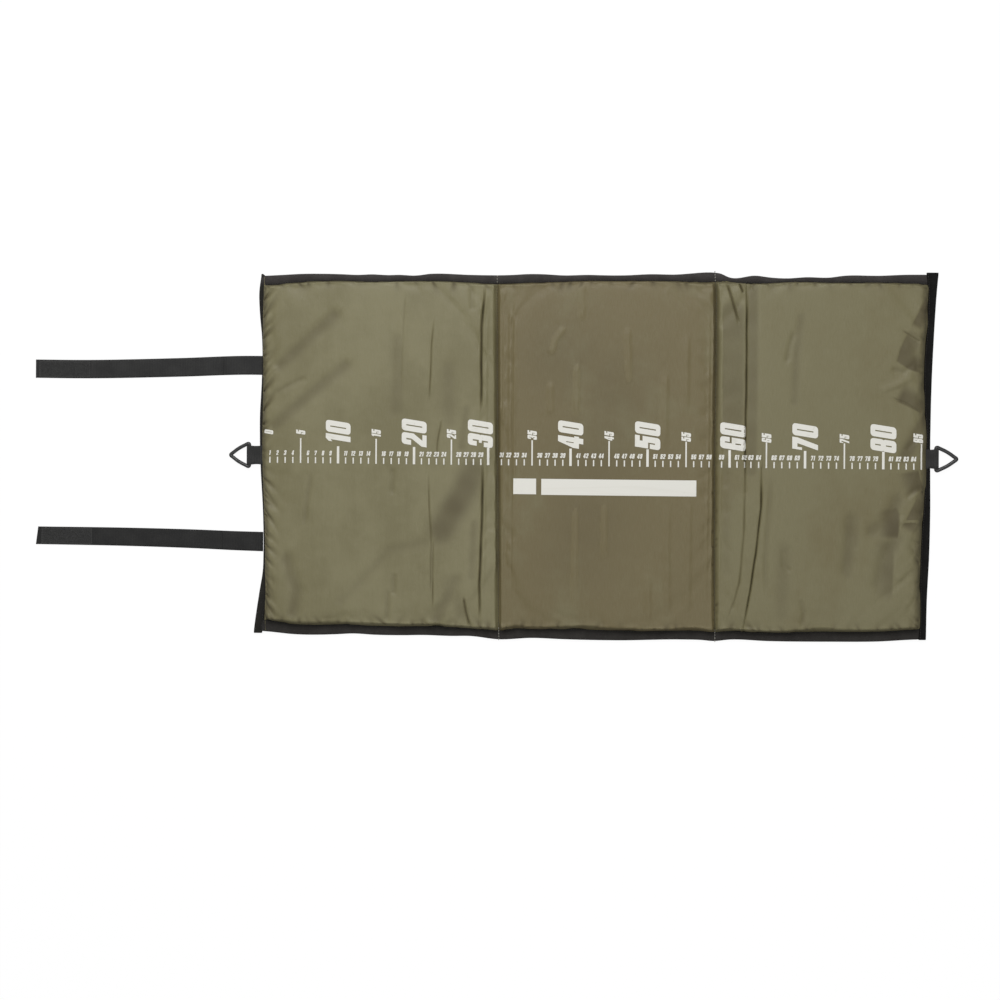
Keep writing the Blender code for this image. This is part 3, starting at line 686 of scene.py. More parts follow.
# Painted shade: the cloth is darkened along both ends, where it rolls down away from the light, and in a thin
# line all round where it meets the tape.
RIM_SHADE = 0.48
RIM_REACHES = (0.0074, 0.0098)
CREVICE_SHADE = 0.45
CREVICE_REACH = 0.0010
FOAM_CLEAR = 0.0005
EASE_SHARE = 0.20
WIDE_FOLD = 0.0065
FOLD_WANDER = 0.00025
FOLD_SWING = 0.10
# How quickly a fold swings twice and wanders once along its length, and how its own place shifts each
FOLD_WAVES = ((71.0, 900.0), (173.0, 700.0), (118.0, 800.0))
FOLD_REACHES = 3.4
SOFT_FOLD = 2.0
LIP_PLACE, LIP_SPREAD = 2.4, 0.9
SHADE_SHARE = 0.80
DIMPLE_SEED = 11
DIMPLE_WIDTH = 0.0019
DIMPLE_FAN = 0.24
DIMPLE_START = 0.0015
DIMPLE_MARGIN = 0.001
DIMPLE_REACHES = 3.0
# Between which shares of its row's measures each dimple lies, and how far its lean strays
DIMPLE_DEPTH_SHARES = (0.35, 1.15)
DIMPLE_REACH_SHARES = (0.5, 1.25)
DIMPLE_WIDTH_SHARES = (0.7, 1.5)
DIMPLE_PITCH_SHARES = (0.45, 1.6)
DIMPLE_STRAY = 0.35


def press_fold(points, shade, kind, path):
    """Presses one fold into the cloth along its path, gathers the cloth's points to it, and paints shade
    along it, or a painted highlight where its darkness is below 0.
    """
    depth, left, right, sharpness, lips, darkness = FOLD_KINDS[kind]
    route = np.array(path) / PER_METRE
    lengths = np.concatenate(([0.0], np.cumsum(np.hypot(*np.diff(route, axis=0).T))))
    reach = FOLD_REACHES * max(left, right, PINCH_REACH / FOLD_REACHES)
    low, high = route.min(axis=0) - reach, route.max(axis=0) + reach
    near = np.nonzero(np.all((points[:, :2] > low) & (points[:, :2] < high), axis=1))[0]
    place = points[near, :2]
    best = np.full(len(near), np.inf)
    share, side, aside = np.zeros(len(near)), np.ones(len(near)), np.zeros((len(near), 2))
    for first in range(len(route) - 1):
        start, run = route[first], route[first + 1] - route[first]
        along = np.clip((place - start) @ run / (run @ run), 0.0, 1.0)
        off = place - start - along[:, None] * run
        distance = np.hypot(off[:, 0], off[:, 1])
        closer = distance < best
        best = np.where(closer, distance, best)
        share = np.where(closer, lengths[first] + along * (lengths[first + 1] - lengths[first]), share)
        side = np.where(closer, np.where(run[0] * off[:, 1] - run[1] * off[:, 0] > 0, 1.0, -1.0), side)
        aside = np.where(closer[:, None], off, aside)
    shifts = (route[0, 0], route[0, 1], route[-1, 0])
    waves = [np.sin(share * pace + place * shift) for (pace, shift), place in zip(FOLD_WAVES, shifts)]
    wander = FOLD_WANDER * waves[2] * (sharpness < SOFT_FOLD)
    best = np.abs(best * side - wander)
    share = share / lengths[-1]
    ease = np.clip(share / EASE_SHARE, 0, 1) * np.clip((1 - share) / EASE_SHARE, 0, 1)
    ease = ease * ease * (3 - 2 * ease) if left < WIDE_FOLD else np.ones(len(near))
    ease *= 1 + FOLD_SWING * (waves[0] + waves[1])
    if sharpness < SOFT_FOLD:
        gather = np.clip(1 - best / PINCH_REACH, 0.0, 1.0) * PINCH_MOST * ease
        points[near, :2] -= aside * gather[:, None]
        best = best * (1 - gather)
    width = np.where(side > 0, left, right)
    points[near, 2] -= depth * ease * np.exp(-((best / width) ** sharpness))
    points[near, 2] += depth * lips * ease * np.exp(-(((best / width - LIP_PLACE) / LIP_SPREAD) ** 2))
    spread = np.exp(-((best / (SHADE_SHARE * width)) ** max(sharpness, SOFT_FOLD)))
    toned = darkness * ease * spread
    shade[near] = np.where(np.abs(toned) > np.abs(shade[near]), toned, shade[near])


def dimple_row(points, shade, dimples, seam, low, high, inward, across, pitch, depth, reach, lean):
    """A row of dimples where the cloth is gathered into a seam: each is deep at the seam, fans out inward and
    leans its own way, and the cloth between two of them stands up. Shade is painted into each dimple, darkest
    where it is deepest."""
    along, other = (points[:, 1], points[:, 0]) if across else (points[:, 0], points[:, 1])
    distance = (other - seam(along)) * inward
    in_reach = (distance > -DIMPLE_MARGIN) & (distance < DIMPLE_REACHES * reach)
    near = np.nonzero(in_reach & (along > low) & (along < high))[0]
    spot, away = along[near], np.maximum(distance[near], 0.0)
    fall, dark = np.zeros(len(near)), np.zeros(len(near))
    middle = low
    while middle < high:
        own_depth = depth * dimples.uniform(*DIMPLE_DEPTH_SHARES)
        own_reach = reach * dimples.uniform(*DIMPLE_REACH_SHARES)
        own_lean = lean(middle) + dimples.normal(0.0, DIMPLE_STRAY)
        width = DIMPLE_WIDTH * dimples.uniform(*DIMPLE_WIDTH_SHARES) + DIMPLE_FAN * away
        off = (spot - middle - own_lean * away) / width
        pressed = np.exp(-off * off) * np.exp(-((away / own_reach) ** 2))
        pressed = pressed * np.clip(away / DIMPLE_START, 0.0, 1.0)
        fall += own_depth * pressed
        dark = np.maximum(dark, own_depth / depth * pressed)
        middle += pitch * dimples.uniform(*DIMPLE_PITCH_SHARES)
    points[near, 2] -= fall
    shade[near] = np.where(dark > np.abs(shade[near]), dark, shade[near])


def inside_foam(side, x, y):
    """Which places lie over a panel's slab of foam, away from the groove at its fold."""
    over = off_edges(x, y, PANELS[side]["low"], PANELS[side]["high"])
    return (over > FOAM_INSET) & (np.abs(x - LEFT_FOLD_X) > 2 * FOAM_GROOVE_REACH)


def evaluated(obj):
    """A piece as its modifiers leave it."""
    return obj.evaluated_get(bpy.context.evaluated_depsgraph_get())


def swollen(obj, held):
    """Blows the cloth up over its foam in a short simulation, held at its seams, and caps its movement."""
    rest = coordinates(obj.data)
    pins = obj.vertex_groups.new(name="seams")
    pins.add([int(index) for index in np.nonzero(held)[0]], 1.0, "REPLACE")
    fabric = obj.modifiers.new("fabric", "CLOTH")
    for setting, value in FABRIC.items():
        setattr(fabric.settings, setting, value)
    fabric.settings.vertex_group_mass = pins.name
    fabric.settings.effector_weights.gravity = 0.0
    fabric.collision_settings.use_collision = False
    fabric.point_cache.frame_start = 1
    fabric.point_cache.frame_end = SWELL_FRAMES
    for frame_number in range(1, SWELL_FRAMES + 1):
        scene.frame_set(frame_number)
    blown = coordinates(evaluated(obj).data)
    obj.modifiers.remove(fabric)
    obj.vertex_groups.remove(pins)
    scene.frame_set(1)
    moved = blown - rest
    far = np.maximum(np.linalg.norm(moved, axis=1), 1e-9)
    moved *= (SWELL_CAP * np.tanh(far / SWELL_CAP) / far)[:, None]
    put_points(obj.data, rest + moved)


def settled(obj):
    """Applies the modifiers of a piece to its mesh."""
    made, old = bpy.data.meshes.new_from_object(evaluated(obj)), obj.data
    obj.modifiers.clear()
    obj.data = made
    bpy.data.meshes.remove(old)


THREAD_PITCHES = (0.00042, 0.00046)
WORN_OLIVE = (0.33, 0.30, 0.19)
PAINTED_SHADE_OLIVE = (0.078, 0.061, 0.029)
PAINTED_HIGHLIGHT_OLIVE = (0.300, 0.275, 0.185)


def cloth_finish(name, pale, brown, brown_low, brown_high):
    """Close-woven coated cloth: threads, slubs, soft clouds of olive and brown that are partly random tone
    and partly a painted sheen, fine crumples, and painted shade and painted highlights from a point
    attribute.
    """
    cloth = Finish(name, {"Sheen Weight": 0.03, "Sheen Roughness": 0.4, "Specular IOR Level": 0.40})
    flat = cloth.node("TexCoord", out="UV")
    clouds = cloth.clouds(flat, 0.11, 3.0, (1.0, 1.7, 1.0))
    streaks = cloth.clouds(flat, 0.0045, 2.0, (1.0, 22.0, 1.0))
    slubs = cloth.clouds(flat, 0.0009, 1.0, (1.0, 14.0, 1.0))
    mottle = cloth.clouds(flat, 0.018, 4.0)
    share = cloth.between(clouds + (mottle - 0.5) * 0.30 + (streaks - 0.5) * 0.10, brown_low, brown_high)
    colour = cloth.tint(share, pale, brown)
    threads = cloth.weave(flat, *THREAD_PITCHES)
    worn = cloth.between(slubs + threads * 0.12, 0.25, 0.85)
    colour = cloth.tint(worn * 0.09, colour, WORN_OLIVE)
    # Painted shade and painted highlights: the attribute darkens the colour towards a deep olive in folds,
    # dimples, edges and shadowed patches, and lightens it towards a pale olive where it is below 0.
    deep = cloth.node("Attribute", out="Fac", attribute_name="painted_shade_and_light")
    colour = cloth.tint(deep * 0.80, colour, PAINTED_SHADE_OLIVE)
    colour = cloth.tint(deep * -0.55, colour, PAINTED_HIGHLIGHT_OLIVE)
    rough = cloth.clouds(flat, 0.03) * 0.16 + deep * 0.2 + 0.36
    crumple = cloth.math("ABSOLUTE", cloth.clouds(flat, 0.013, 3.0, (1.0, 1.9, 1.0)) - 0.5)
    soft = cloth.relief(crumple, 0.0011, 0.5)
    relief = cloth.relief(threads * 0.5 + slubs * 0.6, 0.00006, 0.6, soft)
    return cloth.feed(base_color=colour, roughness=rough, normal=relief)


# Each panel has its own copy of the same cloth, in a tone painted for how the light falls on it: lighter and
# greyer on the left, darker and browner in the middle and on the right. Each gives its pale and brown colour
# and the thresholds of its clouds between them.
CLOTH_TONES = {
    "left": ((0.222, 0.202, 0.108), (0.184, 0.165, 0.082), 0.36, 0.66),
    "middle": ((0.192, 0.172, 0.089), (0.163, 0.132, 0.060), 0.20, 0.54),
    "right": ((0.190, 0.171, 0.087), (0.162, 0.137, 0.062), 0.42, 0.85),
}
COVER_ENDS = {
    "left": (left_cloth, left_seam),
    "middle": (left_seam, right_seam),
    "right": (right_seam, lambda y: right_edge(y) - CLOTH_TUCK),
}
# The gathered seams of each panel: seam, its two ends, way in, whether it runs along Y, pitch, depth, reach
# and lean of its dimples
DIMPLES = {
    "left": (
        (left_cloth, -0.222, 0.222, 1, True, 0.0105, 0.0048, 0.0130, lambda y: 0.9 * math.tanh(y / 0.04)),
        (back_cloth, -0.43, -0.125, -1, False, 0.0190, 0.0009, 0.0090, lambda x: 0.2),
        (front_cloth, -0.43, -0.125, 1, False, 0.0150, 0.0010, 0.0090, lambda x: -0.2),
    ),
    "middle": (
        (back_cloth, -0.12, 0.155, -1, False, 0.0210, 0.0008, 0.0090, lambda x: 0.0),
        (front_cloth, -0.12, 0.155, 1, False, 0.0160, 0.0009, 0.0080, lambda x: 0.0),
        (right_seam, -0.215, 0.150, -1, True, 0.0130, 0.0007, 0.0040, lambda y: 0.3),
    ),
    "right": (
        (right_cloth, -0.222, -0.030, -1, True, 0.0170, 0.0024, 0.0090, lambda y: 0.5),
        (right_cloth, 0.050, 0.222, -1, True, 0.0170, 0.0024, 0.0090, lambda y: 0.5),
        (back_cloth, 0.165, 0.425, -1, False, 0.0170, 0.0009, 0.0080, lambda x: 0.1),
        (front_cloth, 0.165, 0.425, 1, False, 0.0150, 0.0009, 0.0080, lambda x: -0.1),
        (right_seam, -0.215, 0.190, 1, True, 0.0150, 0.0008, 0.0040, lambda y: 0.3),
    ),
}


covers = {}
for side, (low_end, high_end) in COVER_ENDS.items():
    def cover_place(u, v):
        v = crowded(v, -HALF_WIDTH, HALF_WIDTH, CROWDED["sides"])
        y, ends, edges = HALF_WIDTH * (2 * v - 1), (low_end, high_end), (back_edge, front_edge)
        x, y = laid_out(u, v, y, ends, CROWDED[side], edges, CLOTH_TUCK)
        return x, y, panel_height(side, x, y, SWELL_DROP)

    width = float(high_end(0.0) - low_end(0.0))
    mesh = laid(side + "_cover", (round(width / CLOTH_CELL), round(2 * HALF_WIDTH / CLOTH_CELL)), cover_place)
    finish = cloth_finish(side + "_olive_cloth", *CLOTH_TONES[side])
    cover = shown_piece(side + "_cover", mesh, finish)
    x, y, _ = coordinates(mesh).T
    swollen(cover, off_edges(x, y, PANELS[side]["low"], PANELS[side]["high"]) < CLOTH_CELL / 2)
    fine = cover.modifiers.new("fine", "SUBSURF")
    fine.levels = fine.render_levels = 2
    fine.boundary_smooth = "PRESERVE_CORNERS"
    settled(cover)
    points = coordinates(cover.data)
    shade = np.zeros(len(points))
    for kind, path in FOLDS[side]:
        press_fold(points, shade, kind, path)
    dimples = np.random.default_rng(DIMPLE_SEED + len(covers))
    for row in DIMPLES[side]:
        dimple_row(points, shade, dimples, *row)
    x, y, _ = points.T
    # Painted shade along both ends and in the crevice where the cloth meets the tape.
    inward = np.minimum((x - left_cloth(y)) / RIM_REACHES[0], (right_cloth(y) - x) / RIM_REACHES[1])
    rim = RIM_SHADE * np.exp(-(inward ** 4))
    inward = off_edges(x, y, left_cloth, right_cloth)
    rim = np.maximum(rim, CREVICE_SHADE * np.exp(-((inward / CREVICE_REACH) ** 2)))
    shade = np.where(rim > shade, rim, shade)
    over_foam = panel_height(side, x, y, FOAM_DROP, FOAM_INSET) + FOAM_CLEAR
    points[:, 2] = np.where(inside_foam(side, x, y), np.maximum(points[:, 2], over_foam), points[:, 2])
    # The painted shade and painted highlights reach the cloth's colour through this attribute.
    shade_layer = cover.data.attributes.new("painted_shade_and_light", "FLOAT", "POINT")
    shade_layer.data.foreach_set("value", shade.astype(np.float32))
    put_points(cover.data, points)
    covers[side] = cover
    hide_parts(side + "_top_cover")
    carried(cover, side)


# A centimetre ruler is printed across all three panels in off-white ink: short strokes with small upright
# numerals, longer ones every five, and broad ones every ten with large numerals that read from the front
# edge. Below it stand two plain white labels. The ink lies on the cloth and goes into its folds.
INK_LIFT = 0.00024
INK_CELL = 0.0015
RULER_MARKS = (
    (0, -0.4316), (1, -0.4245), (5, -0.3831), (10, -0.3331), (15, -0.2825), (20, -0.2322), (25, -0.1829),
    (29, -0.1441), (30, -0.1346), (31, -0.1169), (32, -0.1075), (35, -0.0768), (40, -0.0265), (45, 0.0237),
    (50, 0.0737), (55, 0.1236), (58, 0.1533), (59, 0.1695), (60, 0.1798), (61, 0.1893), (62, 0.1990),
    (63, 0.2073), (65, 0.2271), (70, 0.2766), (75, 0.3268), (80, 0.3764), (85, 0.4249),
)
RULER_LAST = 85
RULER_LINE = ((-0.4316, -0.0119), (0.4249, -0.0172))
STROKE_SHORT = (0.0017, 0.0080)
STROKE_FIVE = (0.0019, 0.0330)
STROKE_TEN = (0.0032, 0.0227)
SMALL_SIZE, SMALL_MIDDLE = (0.0030, 0.0062), 0.0135
MEDIUM_SIZE, MEDIUM_MIDDLE = (0.0052, 0.0123), 0.0410
LARGE_SIZE, LARGE_MIDDLE = (0.0155, 0.0330), 0.0420
LETTER_GAP_SHARE = 0.15
JOIN_DISTANCE = 1e-6
SLANT = math.tan(math.radians(9.0))
NUMERAL_SHIFTS = {0: 0.0051, 30: -0.0103, 60: 0.0043, 85: -0.0041}
NUMERAL_RISES = {85: 0.0020}
LABELS = ((-0.1011, -0.0713, -0.0310, -0.0515), (-0.0645, 0.1371, -0.0314, -0.0523))
LABEL_DRIFT = -0.0055
NUMERAL_DRIFT = -0.0026
CORNER_SHARE = 0.26
CORNER_POINTS = 4

# Each numeral's outline in shares of its width and height, with a third mark where its corner is round,
# then the shares of its open slots
DIGIT_SHARES = {
    "0": (((0, 0, 1), (1, 0, 1), (1, 1, 1), (0, 1, 1)), ((0.45, 0.18, 0.55, 0.82),)),
    "1": (((0.16, 0), (0.62, 0), (0.62, 1), (0.22, 1), (0, 0.88), (0, 0.74), (0.16, 0.8)), ()),
    "2": ((
        (0, 0), (1, 0), (1, 0.17), (0.5, 0.17), (1, 0.52), (1, 1, 1), (0, 1, 1), (0, 0.62), (0.42, 0.62),
        (0.42, 0.81), (0.54, 0.81), (0.54, 0.6), (0, 0.2),
    ), ()),
    "3": ((
        (0, 0, 1), (1, 0, 1), (1, 0.46), (0.94, 0.5), (1, 0.54), (1, 1, 1), (0, 1, 1), (0, 0.64),
        (0.4, 0.64), (0.4, 0.8), (0.52, 0.8), (0.52, 0.56), (0.3, 0.56), (0.3, 0.44), (0.52, 0.44),
        (0.52, 0.2), (0.4, 0.2), (0.4, 0.36), (0, 0.36),
    ), ()),
    "4": ((
        (0.42, 0), (0.88, 0), (0.88, 0.17), (1, 0.17), (1, 0.36), (0.88, 0.36), (0.88, 1), (0.38, 1),
        (0, 0.4), (0, 0.17), (0.42, 0.17),
    ), ((0.4, 0.38, 0.47, 0.68),)),
    "5": ((
        (0, 0, 1), (1, 0, 1), (1, 0.7), (0.58, 0.7), (0.58, 0.81), (1, 0.81), (1, 1), (0, 1), (0, 0.48),
        (0.5, 0.48), (0.5, 0.21), (0.4, 0.21), (0.4, 0.415), (0, 0.415),
    ), ()),
    "6": ((
        (0, 0, 1), (1, 0, 1), (1, 0.55), (0.5, 0.55), (0.5, 0.82), (0.6, 0.82), (0.6, 0.63), (1, 0.63),
        (1, 1, 1), (0, 1, 1),
    ), ((0.45, 0.19, 0.55, 0.41),)),
    "7": ((
        (0.18, 0), (0.62, 0), (1, 0.8), (1, 1), (0, 1), (0, 0.62), (0.22, 0.62), (0.22, 0.8), (0.52, 0.8),
    ), ()),
    "8": ((
        (0, 0, 1), (1, 0, 1), (1, 0.44), (0.94, 0.5), (1, 0.56), (1, 1, 1), (0, 1, 1), (0, 0.56),
        (0.06, 0.5), (0, 0.44),
    ), ((0.45, 0.18, 0.55, 0.4), (0.45, 0.6, 0.55, 0.82))),
}
upside_down, slots = DIGIT_SHARES["6"]
turned_nine = tuple((1 - corner[0], 1 - corner[1], *corner[2:]) for corner in upside_down)
DIGIT_SHARES["9"] = (turned_nine, tuple((1 - c, 1 - d, 1 - a, 1 - b) for a, b, c, d in slots))
NARROW_ONE_SHARE = 0.62


def box_corners(left, low, right, top):
    """The four corners of an upright box."""
    return [(left, low), (right, low), (right, top), (left, top)]


def digit_outlines(digit, size):
    """The outlines of one numeral, its foot at the origin, slanted: the body first, then its slots."""
    width, height = size
    body, slots = DIGIT_SHARES[digit]
    corners = [Vector((corner[0] * width, corner[1] * height)) for corner in body]
    drawn = []
    for index, here in enumerate(corners):
        if len(body[index]) < 3:
            drawn.append(here)
            continue
        radius = CORNER_SHARE * width
        back = (corners[index - 1] - here).normalized()
        ahead = (corners[(index + 1) % len(corners)] - here).normalized()
        for step in range(CORNER_POINTS):
            swing = math.pi / 2 * step / (CORNER_POINTS - 1)
            drawn.append(here + radius * (back * (1 - math.sin(swing)) + ahead * (1 - math.cos(swing))))
    outlines = [drawn] + [[Vector((x * width, y * height)) for x, y in box_corners(*slot)] for slot in slots]
    return [[(point.x + SLANT * point.y, point.y) for point in outline] for outline in outlines]


def numeral_outlines(number, size):
    """The outlines of a whole number, centred on the origin."""
    outlines, pen = [], 0.0
    for digit in str(number):
        outlines += [[(x + pen, y) for x, y in outline] for outline in digit_outlines(digit, size)]
        pen += size[0] * ((NARROW_ONE_SHARE if digit == "1" else 1.0) + LETTER_GAP_SHARE)
    middle = (pen - size[0] * LETTER_GAP_SHARE + SLANT * size[1]) / 2
    return [[(x - middle, y - size[1] / 2) for x, y in outline] for outline in outlines]


def ruler_outlines():
    """Every outline of the ruler and its two labels, with the X of its middle, in metres on the flat mat."""
    marks, places = zip(*RULER_MARKS)
    (first_x, first_y), (last_x, last_y) = RULER_LINE
    for mark in range(RULER_LAST + 1):
        x = float(np.interp(mark, marks, places))
        foot = first_y + (last_y - first_y) * (x - first_x) / (last_x - first_x)
        width, height = STROKE_TEN if mark % 10 == 0 else STROKE_FIVE if mark % 5 == 0 else STROKE_SHORT
        if mark:
            yield x, box_corners(x - width / 2, foot, x + width / 2, foot + height)
        centre = x + NUMERAL_SHIFTS.get(mark, 0.0)
        if mark % 5:
            for outline in numeral_outlines(mark, SMALL_SIZE):
                yield x, [(x + across, foot + SMALL_MIDDLE + up) for across, up in outline]
            continue
        large = mark % 10 == 0 and mark > 0
        size, middle = (LARGE_SIZE, LARGE_MIDDLE) if large else (MEDIUM_SIZE, MEDIUM_MIDDLE)
        middle += NUMERAL_DRIFT * (x - first_x) / (last_x - first_x) + NUMERAL_RISES.get(mark, 0.0)
        for outline in numeral_outlines(mark, size):
            yield x, [(centre - up, foot + middle + across) for across, up in outline]
    for low_x, high_x, top, bottom in LABELS:
        drift = LABEL_DRIFT * (high_x - low_x)
        corners = [(low_x, bottom), (high_x, bottom + drift), (high_x, top + drift), (low_x, top)]
        yield (low_x + high_x) / 2, corners


ink = Finish("off_white_ink", {"Roughness": 0.62, "Specular IOR Level": 0.3})
ink_flat = ink.node("TexCoord", out="UV")
ink_threads = ink.weave(ink_flat, *THREAD_PITCHES)
ink_wear = ink.between(ink.clouds(ink_flat, 0.0016, 4.0), 0.30, 0.48)
ink_cloud = ink.clouds(ink_flat, 0.03)
ink_colour = ink.tint(ink_cloud * 0.6, (0.86, 0.85, 0.79), (0.80, 0.78, 0.70))
ink_colour = ink.tint(ink_wear * 0.5 + 0.5, (0.62, 0.60, 0.50), ink_colour)
ink_finish = ink.feed(base_color=ink_colour, normal=ink.relief(ink_threads, 0.00005, 0.5))

OVER_MAT, DOWNWARDS = 2 * MAT_TOP, Vector((0.0, 0.0, -1.0))
outlines = list(ruler_outlines())
for side, cover in covers.items():
    low_end, high_end = (float(end(0.0)) for end in COVER_ENDS[side])
    drawing = bpy.data.curves.new(side + "_ruler", "CURVE")
    drawing.dimensions = "2D"
    drawing.fill_mode = "FRONT"
    for x, outline in outlines:
        if low_end < x < high_end:
            spline = drawing.splines.new("POLY")
            spline.points.add(len(outline) - 1)
            for point, place in zip(spline.points, outline):
                point.co = (*place, 0.0, 1.0)
            spline.use_cyclic_u = True
    holder = bpy.data.objects.new(side + "_drawing", drawing)
    scene.collection.objects.link(holder)
    bpy.context.view_layer.update()
    mesh = bpy.data.meshes.new_from_object(evaluated(holder))
    bpy.data.objects.remove(holder)
    bm = bmesh.new()
    bm.from_mesh(mesh)
    bmesh.ops.remove_doubles(bm, verts=bm.verts, dist=JOIN_DISTANCE)
    for axis in range(2):
        reach = [vert.co[axis] for vert in bm.verts]
        for line in np.arange(min(reach) + INK_CELL / 2, max(reach), INK_CELL):
            normal, place = Vector((0.0, 0.0, 0.0)), Vector((0.0, 0.0, 0.0))
            normal[axis], place[axis] = 1.0, line
            whole = bm.verts[:] + bm.edges[:] + bm.faces[:]
            bmesh.ops.bisect_plane(bm, geom=whole, plane_co=place, plane_no=normal)
    bmesh.ops.triangulate(bm, faces=bm.faces[:])
    bm.to_mesh(mesh)
    bm.free()
    mesh.name = side + "_ruler"
    flat_places = coordinates(mesh)
    cloth_points = [tuple(vert.co) for vert in cover.data.vertices]
    cloth = BVHTree.FromPolygons(cloth_points, [tuple(face.vertices) for face in cover.data.polygons])
    for vert in mesh.vertices:
        hit, normal, _, _ = cloth.ray_cast(Vector((vert.co.x, vert.co.y, OVER_MAT)), DOWNWARDS)
        if hit is not None:
            vert.co = hit + normal * INK_LIFT
    spread_out(mesh, flat_places[:, :2])
    mesh.materials.clear()
    mesh.shade_smooth()
    mesh.update()
    carried(shown_piece(side + "_ruler", mesh, ink_finish), side)


# The underside of each panel is one plain piece of the same kind of cloth with a rubbed-in waterproof coat,
# flat on the ground but lifted into the binding at its edges and into the seams.
BASE_CELL = 0.006
BASE_WALL = 0.0006
BASE_REST = 0.0013
BASE_LIFT = 0.0010
BASE_BORDER = (0.0, 0.010)
BASE_WAVE = 0.00025
BASE_TUCK = 0.0030
BASE_THREAD_PITCH = 0.0007

under = Finish("olive_base_cloth", {"Roughness": 0.6, "Specular IOR Level": 0.4})
under_flat = under.node("TexCoord", out="UV")
under_weave = under.weave(under_flat, BASE_THREAD_PITCH, BASE_THREAD_PITCH)
under_clouds = under.between(under.clouds(under_flat, 0.05), 0.3, 0.7)
under_colour = under.tint(under_clouds, (0.150, 0.136, 0.085), (0.180, 0.164, 0.104))
under_colour = under.tint(under.between(under_weave, -1.0, 1.0) * 0.3, under_colour, (0.105, 0.095, 0.058))
under_finish = under.feed(base_color=under_colour, normal=under.relief(under_weave, 0.0001, 0.7))

BASE_ENDS = {
    "left": (lambda y: left_edge(y) + BASE_TUCK, left_seam),
    "middle": (left_seam, right_seam),
    "right": (right_seam, lambda y: right_edge(y) - BASE_TUCK),
}


def walled(obj, thickness, offset=0.0):
    """Gives a sheet its thickness, half of it to each side, or all on its inner side at an offset of -1."""
    wall = obj.modifiers.new("wall", "SOLIDIFY")
    wall.thickness = thickness
    wall.offset = offset


for side, (low_end, high_end) in BASE_ENDS.items():
    def base_place(u, v):
        y, ends, edges = HALF_WIDTH * (2 * v - 1), (low_end, high_end), (back_edge, front_edge)
        x, y = laid_out(u, v, y, ends, bend_places(side), edges, BASE_TUCK)
        inner_back, inner_front = back_edge(x) - BASE_TUCK, front_edge(x) + BASE_TUCK
        off_ends = np.minimum(x - low_end(y), high_end(y) - x)
        edge = np.minimum(off_ends, np.minimum(inner_back - y, y - inner_front))
        along_wave = np.sin(x * 61.0 + 3.0 * np.sin(y * 23.0))
        cross_wave = np.sin(y * 47.0 + 2.0 * np.sin(x * 31.0))
        lift = BASE_LIFT * (1 - rise(edge, BASE_BORDER))
        return x, y, BASE_REST + BASE_WAVE * along_wave * cross_wave + lift

    width = float(high_end(0.0) - low_end(0.0))
    mesh = laid(side + "_base", (round(width / BASE_CELL), round(2 * HALF_WIDTH / BASE_CELL)), base_place)
    mesh.flip_normals()
    base = shown_piece(side + "_base", mesh, under_finish)
    walled(base, BASE_WALL)
    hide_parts(side + "_base_cover")
    sewn_into = [side + "_back_binding", side + "_front_binding"]
    carried(base, side)


# A soft black tape is folded over every raw edge and stitched through: three lengths along the back and three
# along the front, which end in the two seams, and one over each end, which covers the others' ends.
HALF_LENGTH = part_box("right_end_binding")[1].x
BINDING_WALL = 0.0009
BINDING_CELL = 0.005
BINDING_RIPPLE = 0.00035
END_BINDING_EXTRA = 0.0005
LEFT_BINDING_WIDTH = 0.012
TIP_NARROWING = 0.8
TIP_START = 0.2325
TIP_REACH = 0.0050
END_OVERHANG = 0.0028
FRONT_RIGHT_OVERHANG = 0.0005
BINDING_LAP = 0.0012
TAPE_ROUND = 2.3 * LEFT_BINDING_WIDTH
TAPE_FLANK = 0.3
TAPE_SHADE_REACH = 0.0090
TAPE_SHADE_SHARE = 0.80
LEFT_FOOT = 0.0007
RIGHT_TILT = 0.0016
LEFT_START = 0.0022
STITCH_INSET = 0.0022
STITCH_PITCH = 0.0034
STITCH_LENGTH = 0.0024
STITCH_WIDTH = 0.00045
STITCH_HEIGHT_SHARE = 0.99
ALONG_STITCH = (STITCH_LENGTH, STITCH_WIDTH, STITCH_WIDTH)
CROSS_STITCH = (STITCH_WIDTH, STITCH_LENGTH, STITCH_WIDTH)
# The tape's section from its upper inner edge round to its lower one: the share of its width, the inset in
# metres and the share of its height
SECTION_SHARES = (
    (1.00, 0.0, 0.80), (0.96, 0.0, 0.94), (0.62, 0.0, 1.0), (0.25, 0.0, 0.99), (0.08, 0.0, 0.93),
    (0.0, 0.0002, 0.74), (0.0, 0.0, 0.48), (0.0, 0.0002, 0.22), (0.08, 0.0, 0.03), (0.5, 0.0, 0.0),
    (1.0, 0.0, 0.0),
)


def tape_finish(name, colour, light, rib, across_ribs, gloss=1.0):
    """Woven black tape: ribs, paler where they are worn, and a little lint. Its colour and its normal are
    given back with it, to feed once any shade of its own is added."""
    constants = {"Sheen Weight": 0.10 * gloss, "Sheen Roughness": 0.5, "Specular IOR Level": 0.25 * gloss}
    tape = Finish(name, {"Roughness": 0.8, **constants})
    flat = tape.node("TexCoord", out="UV")
    along, across, _ = tape.axes(flat)
    ribs = tape.wave((along if across_ribs else across) / rib)
    picks = tape.wave((across if across_ribs else along) / (rib * 1.6)) * tape.wave(along / rib)
    lint = tape.between(tape.clouds(flat, 0.0012, 4.0), 0.58, 0.74)
    faded = tape.clouds(flat, 0.020, 3.0)
    shade = tape.between(ribs * 0.28 + picks * 0.12 + faded, 0.20, 1.0)
    linted = tape.tint(lint * 0.22, tape.tint(shade, colour, light), (0.16, 0.155, 0.14))
    return tape, linted, tape.relief(ribs + picks * 0.5, 0.00012, 0.8)


